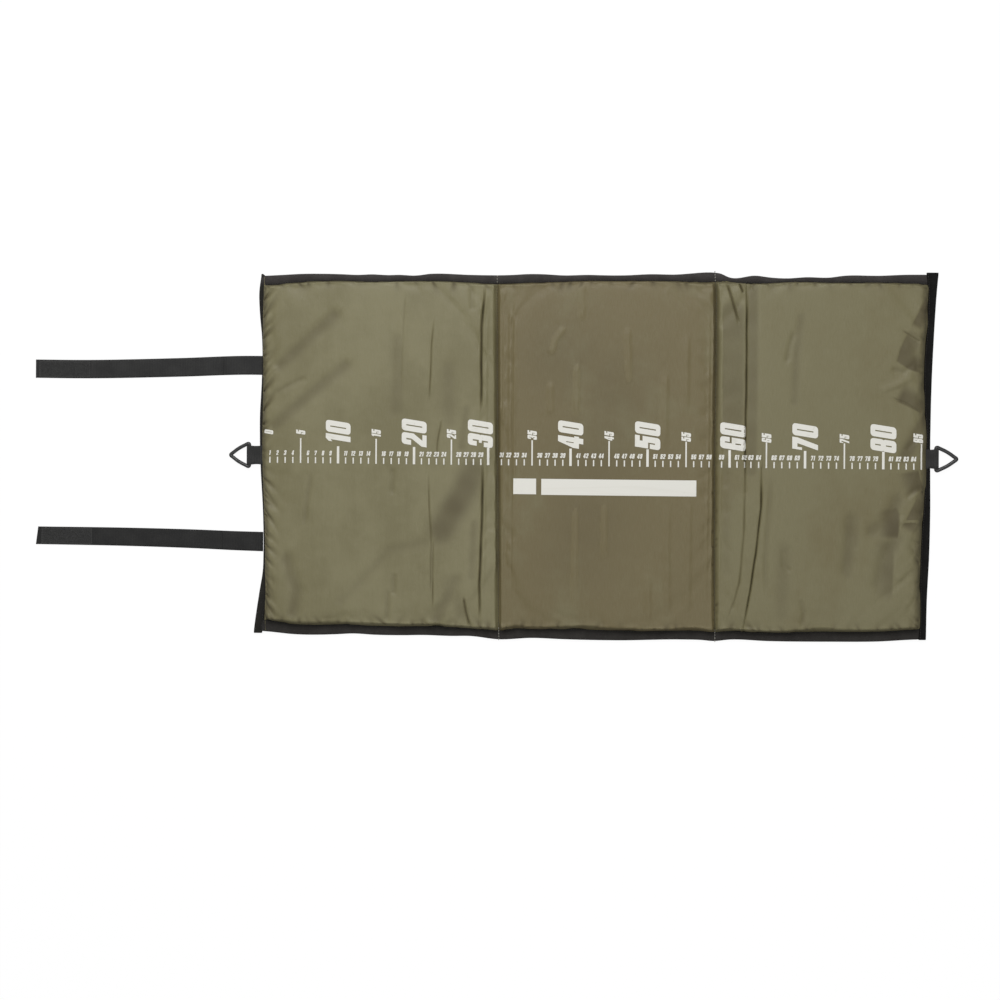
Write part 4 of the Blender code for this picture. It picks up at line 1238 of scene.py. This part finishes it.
# The same black tape in four copies, with light and shade painted in: lightest along the back, darker along
# the front, darker still at the left end, and darkest at the right end, with less gloss at the ends, as the
# light falls on each edge. Each gives its deep and worn black and its gloss.
BINDING_TONES = {
    "back": ((0.031, 0.027, 0.026), (0.083, 0.076, 0.073), 1.0),
    "front": ((0.018, 0.016, 0.014), (0.051, 0.047, 0.043), 1.0),
    "left": ((0.012, 0.011, 0.009), (0.030, 0.028, 0.024), 0.8),
    "right": ((0.007, 0.007, 0.007), (0.019, 0.019, 0.018), 0.3),
}
binding_finishes = {}
for edge_name, (deep_black, worn_black, gloss) in BINDING_TONES.items():
    tape, woven, ribs = tape_finish(edge_name + "_black_binding", deep_black, worn_black, 0.0011, True, gloss)
    crossing = tape.axes(tape.node("TexCoord", out="UV"))[1]
    shade = tape.between(crossing, TAPE_SHADE_REACH, 0.0) * TAPE_SHADE_SHARE
    shaded = tape.tint(shade, woven, (0.006, 0.005, 0.004))
    binding_finishes[edge_name] = tape.feed(base_color=shaded, normal=ribs)
black_thread = Finish("black_thread", {"Roughness": 0.6})
thread_lay = black_thread.clouds(black_thread.node("TexCoord", out="Object"), 0.0006, 2.0)
thread_shade = black_thread.tint(thread_lay, (0.030, 0.029, 0.027), (0.085, 0.082, 0.076))
dark_thread = black_thread.feed(base_color=thread_shade)


def stitch(bm, place, size, sides=6, rings=4):
    """Adds one stitch to a bmesh: a bead of thread drawn out to its length."""
    shape = Matrix.Translation(place) @ Matrix.Diagonal((*size, 1.0))
    bmesh.ops.create_uvsphere(bm, u_segments=sides, v_segments=rings, radius=0.5, matrix=shape)


def tape_length(name, low, high, outer, inner, upright, outward, top, side, finish, foot=0.0, tilt=0.0,
                ends=None):
    """A length of folded tape and its stitches. It runs along X, or along Y where it is upright, over the
    edge line outer, and ends has the lines that its two ends follow."""
    last = len(SECTION_SHARES) - 1
    shares = np.array(SECTION_SHARES)

    def tape_place(u, v):
        along = low + (high - low) * u
        width = np.abs(outer(along) - inner(along))
        part = np.rint(v * last).astype(int)
        inset = shares[part, 0] * width + shares[part, 1]
        ripple = np.sin(along * 290.0 + 4.0 * np.sin(along * 57.0)) + 0.6 * np.sin(along * 710.0)
        rippled = top + BINDING_RIPPLE * ripple
        height = foot + shares[part, 2] * (rippled - foot - tilt * (1 - shares[part, 0]))
        across = outer(along) - outward * inset
        if ends:
            first, final = ends[0](across) - BINDING_LAP, ends[1](across) + BINDING_LAP
            along = first + (final - first) * u
        return (across, along, height) if upright else (along, across, height)

    def tape_flat(u, v):
        return low + (high - low) * u, v * TAPE_ROUND

    mesh = laid(name, (round((high - low) / BINDING_CELL), last), tape_place, tape_flat)
    flanks = [face for face in mesh.polygons if abs(face.normal.z) < TAPE_FLANK]
    if sum(face.normal[0 if upright else 1] for face in flanks) * outward < 0:
        mesh.flip_normals()
    tape = shown_piece(name, mesh, finish)
    walled(tape, BINDING_WALL, -1.0)
    fine = tape.modifiers.new("fine", "SUBSURF")
    fine.levels = fine.render_levels = 1
    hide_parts(name)
    carried(tape, side)

    bm = bmesh.new()
    for along in np.arange(low + STITCH_PITCH, high - STITCH_PITCH / 2, STITCH_PITCH):
        across, height = float(inner(along)) + outward * STITCH_INSET, top * STITCH_HEIGHT_SHARE
        if upright:
            stitch(bm, (across, along, height), CROSS_STITCH)
        else:
            stitch(bm, (along, across, height), ALONG_STITCH)
    mesh = meshed(bm, name + "_stitches")
    carried(shown_piece(name + "_stitches", mesh, dark_thread), side)


def left_inner(y):
    """The inner line of the left end's tape. The cloth bulges over it, and its back end narrows to a tip."""
    narrowing = TIP_NARROWING * np.clip((y - TIP_START) / TIP_REACH, 0.0, 1.0)
    return left_edge(y) + LEFT_BINDING_WIDTH * (1 - narrowing)


def tape_start(y):
    """The line on the left end's tape where the long tape of the back edge begins."""
    return left_edge(y) + LEFT_START


LONG_TAPES = (("back", back_edge, back_cloth, 1), ("front", front_edge, front_cloth, -1))
for edge_name, outer, inner, outward in LONG_TAPES:
    lines = (tape_start if outward > 0 else left_inner, left_seam, right_seam, right_cloth)
    for side, first, final in zip(PANELS, lines, lines[1:]):
        name = side + "_" + edge_name + "_binding"
        low, high, finish = float(first(outer(0.0))), float(final(outer(0.0))), binding_finishes[edge_name]
        tape_length(
            name, low, high, outer, inner, False, outward, TAPE_TOP, side, finish, ends=(first, final)
        )

LEFT_TOP, RIGHT_TOP = TAPE_TOP - END_BINDING_EXTRA, TAPE_TOP + END_BINDING_EXTRA
END_TAPES = (
    ("left", left_edge, left_inner, -1, LEFT_TOP, LEFT_FOOT, 0.0, END_OVERHANG),
    ("right", right_edge, right_cloth, 1, RIGHT_TOP, 0.0, RIGHT_TILT, FRONT_RIGHT_OVERHANG),
)
for side, outer, inner, outward, top, foot, tilt, front_overhang in END_TAPES:
    low = float(front_edge(outward * HALF_LENGTH)) - front_overhang
    high = float(back_edge(outward * HALF_LENGTH)) + END_OVERHANG
    name, finish = side + "_end_binding", binding_finishes[side]
    tape_length(name, low, high, outer, inner, True, outward, top, side, finish, foot, tilt)


# A pale thread joins the covers along both seams. Its stitches lie deep in the valley between two pads and
# run out over the black tape at both ends.
SEAM_STITCH = 0.0030
SEAM_PITCH = 0.0037
SEAM_THREAD = 0.0012
SEAM_REST = 0.0003
SEAM_OVERRUN = 0.0010
SEAM_BEAD = (SEAM_THREAD, SEAM_STITCH, SEAM_THREAD)

pale = Finish("seam_thread", {"Roughness": 0.7, "Sheen Weight": 0.2})
pale_place = pale.node("TexCoord", out="Object")
pale_x, pale_y, _ = pale.axes(pale_place)
pale_lay = pale.wave(pale_y / 0.0009 + pale_x / 0.0006)
pale_share = pale.clouds(pale_place, 0.004) + pale_lay * 0.12
pale_shade = pale.tint(pale_share, (0.23, 0.22, 0.185), (0.42, 0.40, 0.35))
# Painted shade: inside the valley the thread is darkened to a deep olive, and it shows pale only where it
# runs out over the tape.
over_edge = pale.between(pale.math("ABSOLUTE", pale_y), 0.2250, 0.2290)
pale_shade = pale.tint(over_edge, (0.085, 0.075, 0.042), pale_shade)
pale_thread = pale.feed(base_color=pale_shade, normal=pale.relief(pale_lay, 0.0001))

for side, seam in (("left", left_seam), ("right", right_seam)):
    x = float(seam(0.0))
    low, high = float(front_edge(x)) - SEAM_OVERRUN, float(back_edge(x)) + SEAM_OVERRUN
    inner_low, inner_high = float(front_cloth(x)), float(back_cloth(x))
    bm = bmesh.new()
    for y in np.arange(low + SEAM_STITCH / 2, high, SEAM_PITCH):
        over_tape = y < inner_low or y > inner_high
        z = (TAPE_TOP if over_tape else float(seam_foot(float(seam(y)), y))) + SEAM_REST
        stitch(bm, (float(seam(y)), y, z), SEAM_BEAD, 8, 6)
    mesh = meshed(bm, side + "_fold_thread")
    thread = shown_piece(side + "_fold_thread", mesh, pale_thread)
    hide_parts(side + "_fold_thread")
    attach(thread, "middle_panel")


# A three-cornered ring of black coated wire hangs at the middle of each end. Its bar lies in a folded length
# of webbing, whose two tails are sewn down at the end tape.
WIRE = 0.0048
WIRE_SIDES = 14
WIRE_BULGE = 0.0009
BULGE_POWER = 1.5
TIP_ROUND_SHARE = 0.35
CORNER_CUT = 0.0042
TIP_CUT = 0.0036
CUT_STEPS = 8
SIDE_STEPS = 8
BAR_HEIGHT = 0.0038
LOOP_WALL = 0.0011
LOOP_PLAY = 0.0002
LOOP_HALF = 0.0130
LOOP_WAIST = 0.07
LOOP_STEPS = 10
LOOP_CELLS = 6
RINGS = {
    "left": {"sign": -1, "bar": -0.4545, "y": -0.0015, "half": 0.0166, "tip": -0.4812, "root": -0.4360,
             "upper": 0.0050, "lower": 0.0039, "loop_y": -0.0016},
    "right": {"sign": 1, "bar": 0.4450, "y": -0.0031, "half": 0.0164, "tip": 0.4727, "root": 0.4302,
              "upper": 0.0060, "lower": 0.0049, "loop_y": -0.0031},
}

coat = Finish("ring_wire", {"Roughness": 0.42, "Coat Weight": 0.15, "Specular IOR Level": 0.45})
coat_place = coat.node("TexCoord", out="Object")
rubbed = coat.between(coat.clouds(coat_place, 0.006, 5.0), 0.56, 0.70)
grain = coat.clouds(coat_place, 0.0008, 3.0)
coat_colour = coat.tint(rubbed * 0.5 + grain * 0.3, (0.026, 0.026, 0.027), (0.070, 0.070, 0.070))
coat_relief = coat.relief(grain, 0.00008, 0.5)
coat_finish = coat.feed(base_color=coat_colour, roughness=grain * 0.3 + 0.3, normal=coat_relief)
loop_tape, loop_colour, loop_relief = tape_finish(
    "loop_webbing", (0.024, 0.024, 0.024), (0.052, 0.052, 0.051), 0.0012, False
)
loop_finish = loop_tape.feed(base_color=loop_colour, normal=loop_relief)

for side, ring in RINGS.items():
    y, half = ring["y"], ring["half"]
    corners = [Vector((ring["bar"], y - half)), Vector((ring["bar"], y + half)), Vector((ring["tip"], y))]
    tip_out = (corners[2] - corners[0]).length / half * TIP_CUT * TIP_ROUND_SHARE
    corners[2].x += ring["sign"] * (tip_out - WIRE / 2)
    cuts = (CORNER_CUT, CORNER_CUT, TIP_CUT)
    line = []
    for index, corner in enumerate(corners):
        behind, ahead = corners[index - 1], corners[(index + 1) % 3]
        enter = corner + (behind - corner).normalized() * cuts[index]
        leave = corner + (ahead - corner).normalized() * cuts[index]
        for step in range(CUT_STEPS + 1):
            t = step / CUT_STEPS
            line.append(enter * (1 - t) ** 2 + corner * 2 * t * (1 - t) + leave * t * t)
        arrive = ahead + (corner - ahead).normalized() * cuts[(index + 1) % 3]
        run = arrive - leave
        outward = Vector((run.y, -run.x)).normalized() * (-ring["sign"] if index else 0.0) * WIRE_BULGE
        for step in range(1, SIDE_STEPS):
            t = step / SIDE_STEPS
            line.append(leave + run * t + outward * (4 * t * (1 - t)) ** BULGE_POWER)
    bm = bmesh.new()
    loops = []
    for index, here in enumerate(line):
        run = (line[(index + 1) % len(line)] - line[index - 1]).normalized()
        aside = Vector((run.y, -run.x, 0.0))
        loops.append([
            bm.verts.new(
                Vector((here.x, here.y, BAR_HEIGHT))
                + aside * math.cos(math.tau * turn / WIRE_SIDES) * WIRE / 2
                + Vector((0.0, 0.0, math.sin(math.tau * turn / WIRE_SIDES) * WIRE / 2))
            )
            for turn in range(WIRE_SIDES)
        ])
    for index, loop in enumerate(loops):
        before = loops[index - 1]
        for turn in range(WIRE_SIDES):
            bm.faces.new((before[turn], before[turn - 1], loop[turn - 1], loop[turn]))
    bmesh.ops.recalc_face_normals(bm, faces=bm.faces)
    wire = shown_piece(side + "_ring", meshed(bm, side + "_ring"), coat_finish)
    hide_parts(side + "_ring")
    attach(wire, side + "_ring_body")

    wrap = WIRE / 2 + LOOP_WALL / 2 + LOOP_PLAY
    shares = np.linspace(0.0, 1.0, LOOP_STEPS)
    eased = shares * shares * (3 - 2 * shares)
    turns = np.linspace(math.pi / 2, -math.pi / 2, LOOP_STEPS)[1:-1]
    along = np.concatenate((
        ring["root"] + (ring["bar"] - ring["root"]) * shares,
        ring["bar"] + ring["sign"] * wrap * np.cos(turns),
        ring["bar"] + (ring["root"] - ring["bar"]) * shares,
    ))
    up = np.concatenate((
        ring["upper"] + (BAR_HEIGHT + wrap - ring["upper"]) * eased,
        BAR_HEIGHT + wrap * np.sin(turns),
        BAR_HEIGHT - wrap + (ring["lower"] - BAR_HEIGHT + wrap) * eased,
    ))
    last = len(along) - 1
    run_length = np.concatenate(([0.0], np.cumsum(np.hypot(np.diff(along), np.diff(up)))))
    run_share = np.clip((along - ring["root"]) / (ring["bar"] - ring["root"]), 0, 1)
    waist = 1 - LOOP_WAIST * np.sin(math.pi * run_share)

    def loop_place(u, v):
        part = np.rint(u * last).astype(int)
        return along[part], ring["loop_y"] + LOOP_HALF * waist[part] * (2 * v - 1), up[part]

    def loop_flat(u, v):
        return run_length[np.rint(u * last).astype(int)], LOOP_HALF * (2 * v - 1)

    mesh = laid(side + "_ring_loop", (last, LOOP_CELLS), loop_place, loop_flat)
    loop = shown_piece(side + "_ring_loop", mesh, loop_finish)
    walled(loop, LOOP_WALL)
    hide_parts(side + "_ring_loop")
    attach(loop, side + "_panel")


# Two long webbing straps are sewn in at the left end and lie out flat. Folded over the rolled mat, they hold
# it shut: a patch of hook tape on the face of each end meets a loop patch under the middle panel.
STRAP_WALL = 0.0010
STRAP_REST = 0.00055
STRAP_WAVE = 0.0004
STRAP_SPLIT = -0.4900
STRAP_BEND = (-0.4560, -0.4680)
STRAP_WRAP = (-0.5138, -0.5258)
STRAP_CELL = 0.004
STRAP_CELLS_ACROSS = 8
STRAP_SEWN_X = -0.4360
STRAP_EASE_X, STRAP_EASE = -0.445, 0.03
STRAP_TIP_REACH = 0.001
HOOK_PATCH = 0.0700
HOOK_MARGIN = 0.0045
HOOK_HALF = 0.0110
HOOK_WALL = 0.0007
HOOK_PITCH = 0.0017
HOOK_RISE = 0.0007
HOOK_THICK = 0.00022
HOOK_SEAM = 0.0012
HOOK_CELLS, LOOP_PATCH_CELLS = (28, 6), (40, 8)
HOOK_EDGE_ANGLE = math.radians(40)
# How far a hook leans and how high it stands, at its foot, its bend and its tip
HOOK_SHAPE = ((0.0, -0.0001), (0.0001, HOOK_RISE), (0.0006, HOOK_RISE * 0.75))
# Each strap's middle line and half width along it, in whole tenths of a millimetre, the slant of its end and
# the dark and light of its weave, which are darker on the front strap as painted shade, since the light falls
# from the back
STRAPS = {
    "back": {
        "line": ((-7470, 1134), (-6840, 1128), (-5490, 1152), (-4525, 1180), (-4360, 1178)),
        "halves": ((-7470, 123), (-6000, 124), (-4360, 126)),
        "slant": 0.0,
        "dark": (0.024, 0.024, 0.024),
        "light": (0.046, 0.046, 0.045),
    },
    "front": {
        "line": ((-7425, -1106), (-6210, -1117), (-5240, -1139), (-4750, -1157), (-4360, -1167)),
        "halves": ((-7425, 119), (-6000, 123), (-4360, 129)),
        "slant": 0.13,
        "dark": (0.017, 0.017, 0.017),
        "light": (0.034, 0.034, 0.033),
    },
}
LOOP_PATCH_X = 0.005
LOOP_PATCH_HALVES = (0.0598, 0.0123)
LOOP_PATCH_Y = 0.117
LOOP_PATCH_Z = 0.00025
LOOP_PATCH_WALL = 0.0005

hooked = Finish("hook_tape", {"Roughness": 0.75, "Specular IOR Level": 0.35})
hooked_place = hooked.node("TexCoord", out="Object")
hooked_cells = hooked.node("TexVoronoi", {"Vector": hooked_place, "Scale": 900.0}, feature="F1")
hooked_share = hooked_cells + hooked.clouds(hooked_place, 0.01) * 0.4
hooked_colour = hooked.tint(hooked_share, (0.012, 0.012, 0.012), (0.046, 0.046, 0.045))
hooked_finish = hooked.feed(base_color=hooked_colour, normal=hooked.relief(hooked_cells, 0.0003))
pile = Finish("loop_tape", {"Roughness": 1.0, "Sheen Weight": 0.3, "Specular IOR Level": 0.2})
pile_tufts = pile.clouds(pile.node("TexCoord", out="Object"), 0.0011, 5.0)
pile_colour = pile.tint(pile.between(pile_tufts, 0.3, 0.75), (0.010, 0.010, 0.010), (0.050, 0.050, 0.048))
pile_finish = pile.feed(base_color=pile_colour, normal=pile.relief(pile_tufts, 0.0006))

for edge_name, strap in STRAPS.items():
    centre, half_width = through(strap["line"]), through(strap["halves"])
    tip = strap["line"][0][0] / PER_METRE
    patch_start, patch_end = tip + HOOK_MARGIN, tip + HOOK_MARGIN + HOOK_PATCH
    webbing, webbing_colour, webbing_relief = tape_finish(
        edge_name + "_webbing", strap["dark"], strap["light"], 0.0013, False
    )
    webbing_finish = webbing.feed(base_color=webbing_colour, normal=webbing_relief)

    def strap_height(x, y):
        wave = np.sin(x * 23.0 + y * 9.0) + 0.5 * np.sin(x * 61.0 - y * 40.0)
        free = np.clip((STRAP_EASE_X - x) / STRAP_EASE, 0.0, 1.0)
        return STRAP_REST + STRAP_WAVE * (0.5 + 0.33 * wave) * free

    def hook_top(x, y):
        return float(strap_height(x, y)) + STRAP_WALL / 2 + HOOK_WALL

    side_body, end_body = edge_name + "_strap_side_body", edge_name + "_strap_end_body"
    pieces = (
        ("strap_root", STRAP_SEWN_X, STRAP_SPLIT, "left_panel", side_body, STRAP_BEND, ("anchor", "side")),
        ("strap_end", STRAP_SPLIT, tip, side_body, end_body, STRAP_WRAP, ("end",)),
    )
    for piece_name, start, stop, first, second, bend, nodes in pieces:
        def strap_place(u, v):
            across = 2 * v - 1
            x = start + (stop - start) * u
            y = centre(x) + half_width(x) * across
            lean = strap["slant"] * (across - 1) * half_width(x) * (x < tip + STRAP_TIP_REACH)
            return x + lean, y, strap_height(x, y)

        name = edge_name + "_" + piece_name
        mesh = laid(name, (round((start - stop) / STRAP_CELL), STRAP_CELLS_ACROSS), strap_place)
        mesh.flip_normals()
        band = shown_piece(name, mesh, webbing_finish)
        walled(band, STRAP_WALL)
        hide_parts(*[edge_name + "_strap_" + node for node in nodes])
        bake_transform(band)

    def hook_place(u, v):
        across = 2 * v - 1
        x = patch_start + HOOK_PATCH * u
        y = centre(x) + HOOK_HALF * across
        return x, y, strap_height(x, y) + STRAP_WALL / 2 + HOOK_WALL / 2

    mesh = laid(edge_name + "_hook_patch", HOOK_CELLS, hook_place)
    bm = bmesh.new()
    bm.from_mesh(mesh)
    bmesh.ops.solidify(bm, geom=bm.faces[:], thickness=HOOK_WALL)
    bmesh.ops.translate(bm, vec=(0.0, 0.0, HOOK_WALL / 2), verts=bm.verts)
    for x in np.arange(patch_start + 0.003, patch_end - 0.002, HOOK_PITCH):
        for y in np.arange(centre(x) - HOOK_HALF + 0.0024, centre(x) + HOOK_HALF - 0.0020, HOOK_PITCH):
            foot = hook_top(x, y)
            corner = [
                bm.verts.new((x + lean + side * HOOK_THICK, y + turn * HOOK_THICK, foot + lift))
                for lean, lift in HOOK_SHAPE
                for side, turn in ((-1, -1), (1, -1), (0, 1))
            ]
            for row in (0, 3):
                for a, b in ((0, 1), (1, 2), (2, 0)):
                    bm.faces.new((corner[row + a], corner[row + b], corner[row + 3 + b], corner[row + 3 + a]))
            bm.faces.new(corner[6:9])
            bm.faces.new(corner[2::-1])
    bmesh.ops.recalc_face_normals(bm, faces=bm.faces)
    bm.to_mesh(mesh)
    bm.free()
    mesh.set_sharp_from_angle(angle=HOOK_EDGE_ANGLE)
    patch = shown_piece(edge_name + "_hook_patch", mesh, hooked_finish)
    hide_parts(edge_name + "_hook_patch")
    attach(patch, edge_name + "_strap_end_body")

    bm = bmesh.new()
    for across in (-1, 1):
        for x in np.arange(patch_start + 0.002, patch_end - 0.001, STITCH_PITCH):
            y = float(centre(x)) + across * (HOOK_HALF - HOOK_SEAM)
            stitch(bm, (x, y, hook_top(x, y)), ALONG_STITCH)
    for x in (patch_start + HOOK_SEAM, patch_end - HOOK_SEAM):
        middle = float(centre(x))
        for y in np.arange(middle - HOOK_HALF + 0.002, middle + HOOK_HALF - 0.001, STITCH_PITCH):
            stitch(bm, (x, y, hook_top(x, y)), CROSS_STITCH)
    mesh = meshed(bm, edge_name + "_hook_stitches")
    stitches = shown_piece(edge_name + "_hook_stitches", mesh, dark_thread)
    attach(stitches, edge_name + "_strap_end_body")

    def pile_spot(u, v):
        x = LOOP_PATCH_X + LOOP_PATCH_HALVES[0] * (2 * u - 1)
        y = math.copysign(LOOP_PATCH_Y, strap["line"][0][1]) + LOOP_PATCH_HALVES[1] * (2 * v - 1)
        return x, y, LOOP_PATCH_Z + 0 * x

    mesh = laid(edge_name + "_loop_patch", LOOP_PATCH_CELLS, pile_spot)
    mesh.flip_normals()
    patch = shown_piece(edge_name + "_loop_patch", mesh, pile_finish)
    walled(patch, LOOP_PATCH_WALL)
    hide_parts(edge_name + "_loop_patch")
    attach(patch, "middle_panel")


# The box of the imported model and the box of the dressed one, for comparing their sizes.
[[list(corner) for corner in box] for box in (solid_box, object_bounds())]
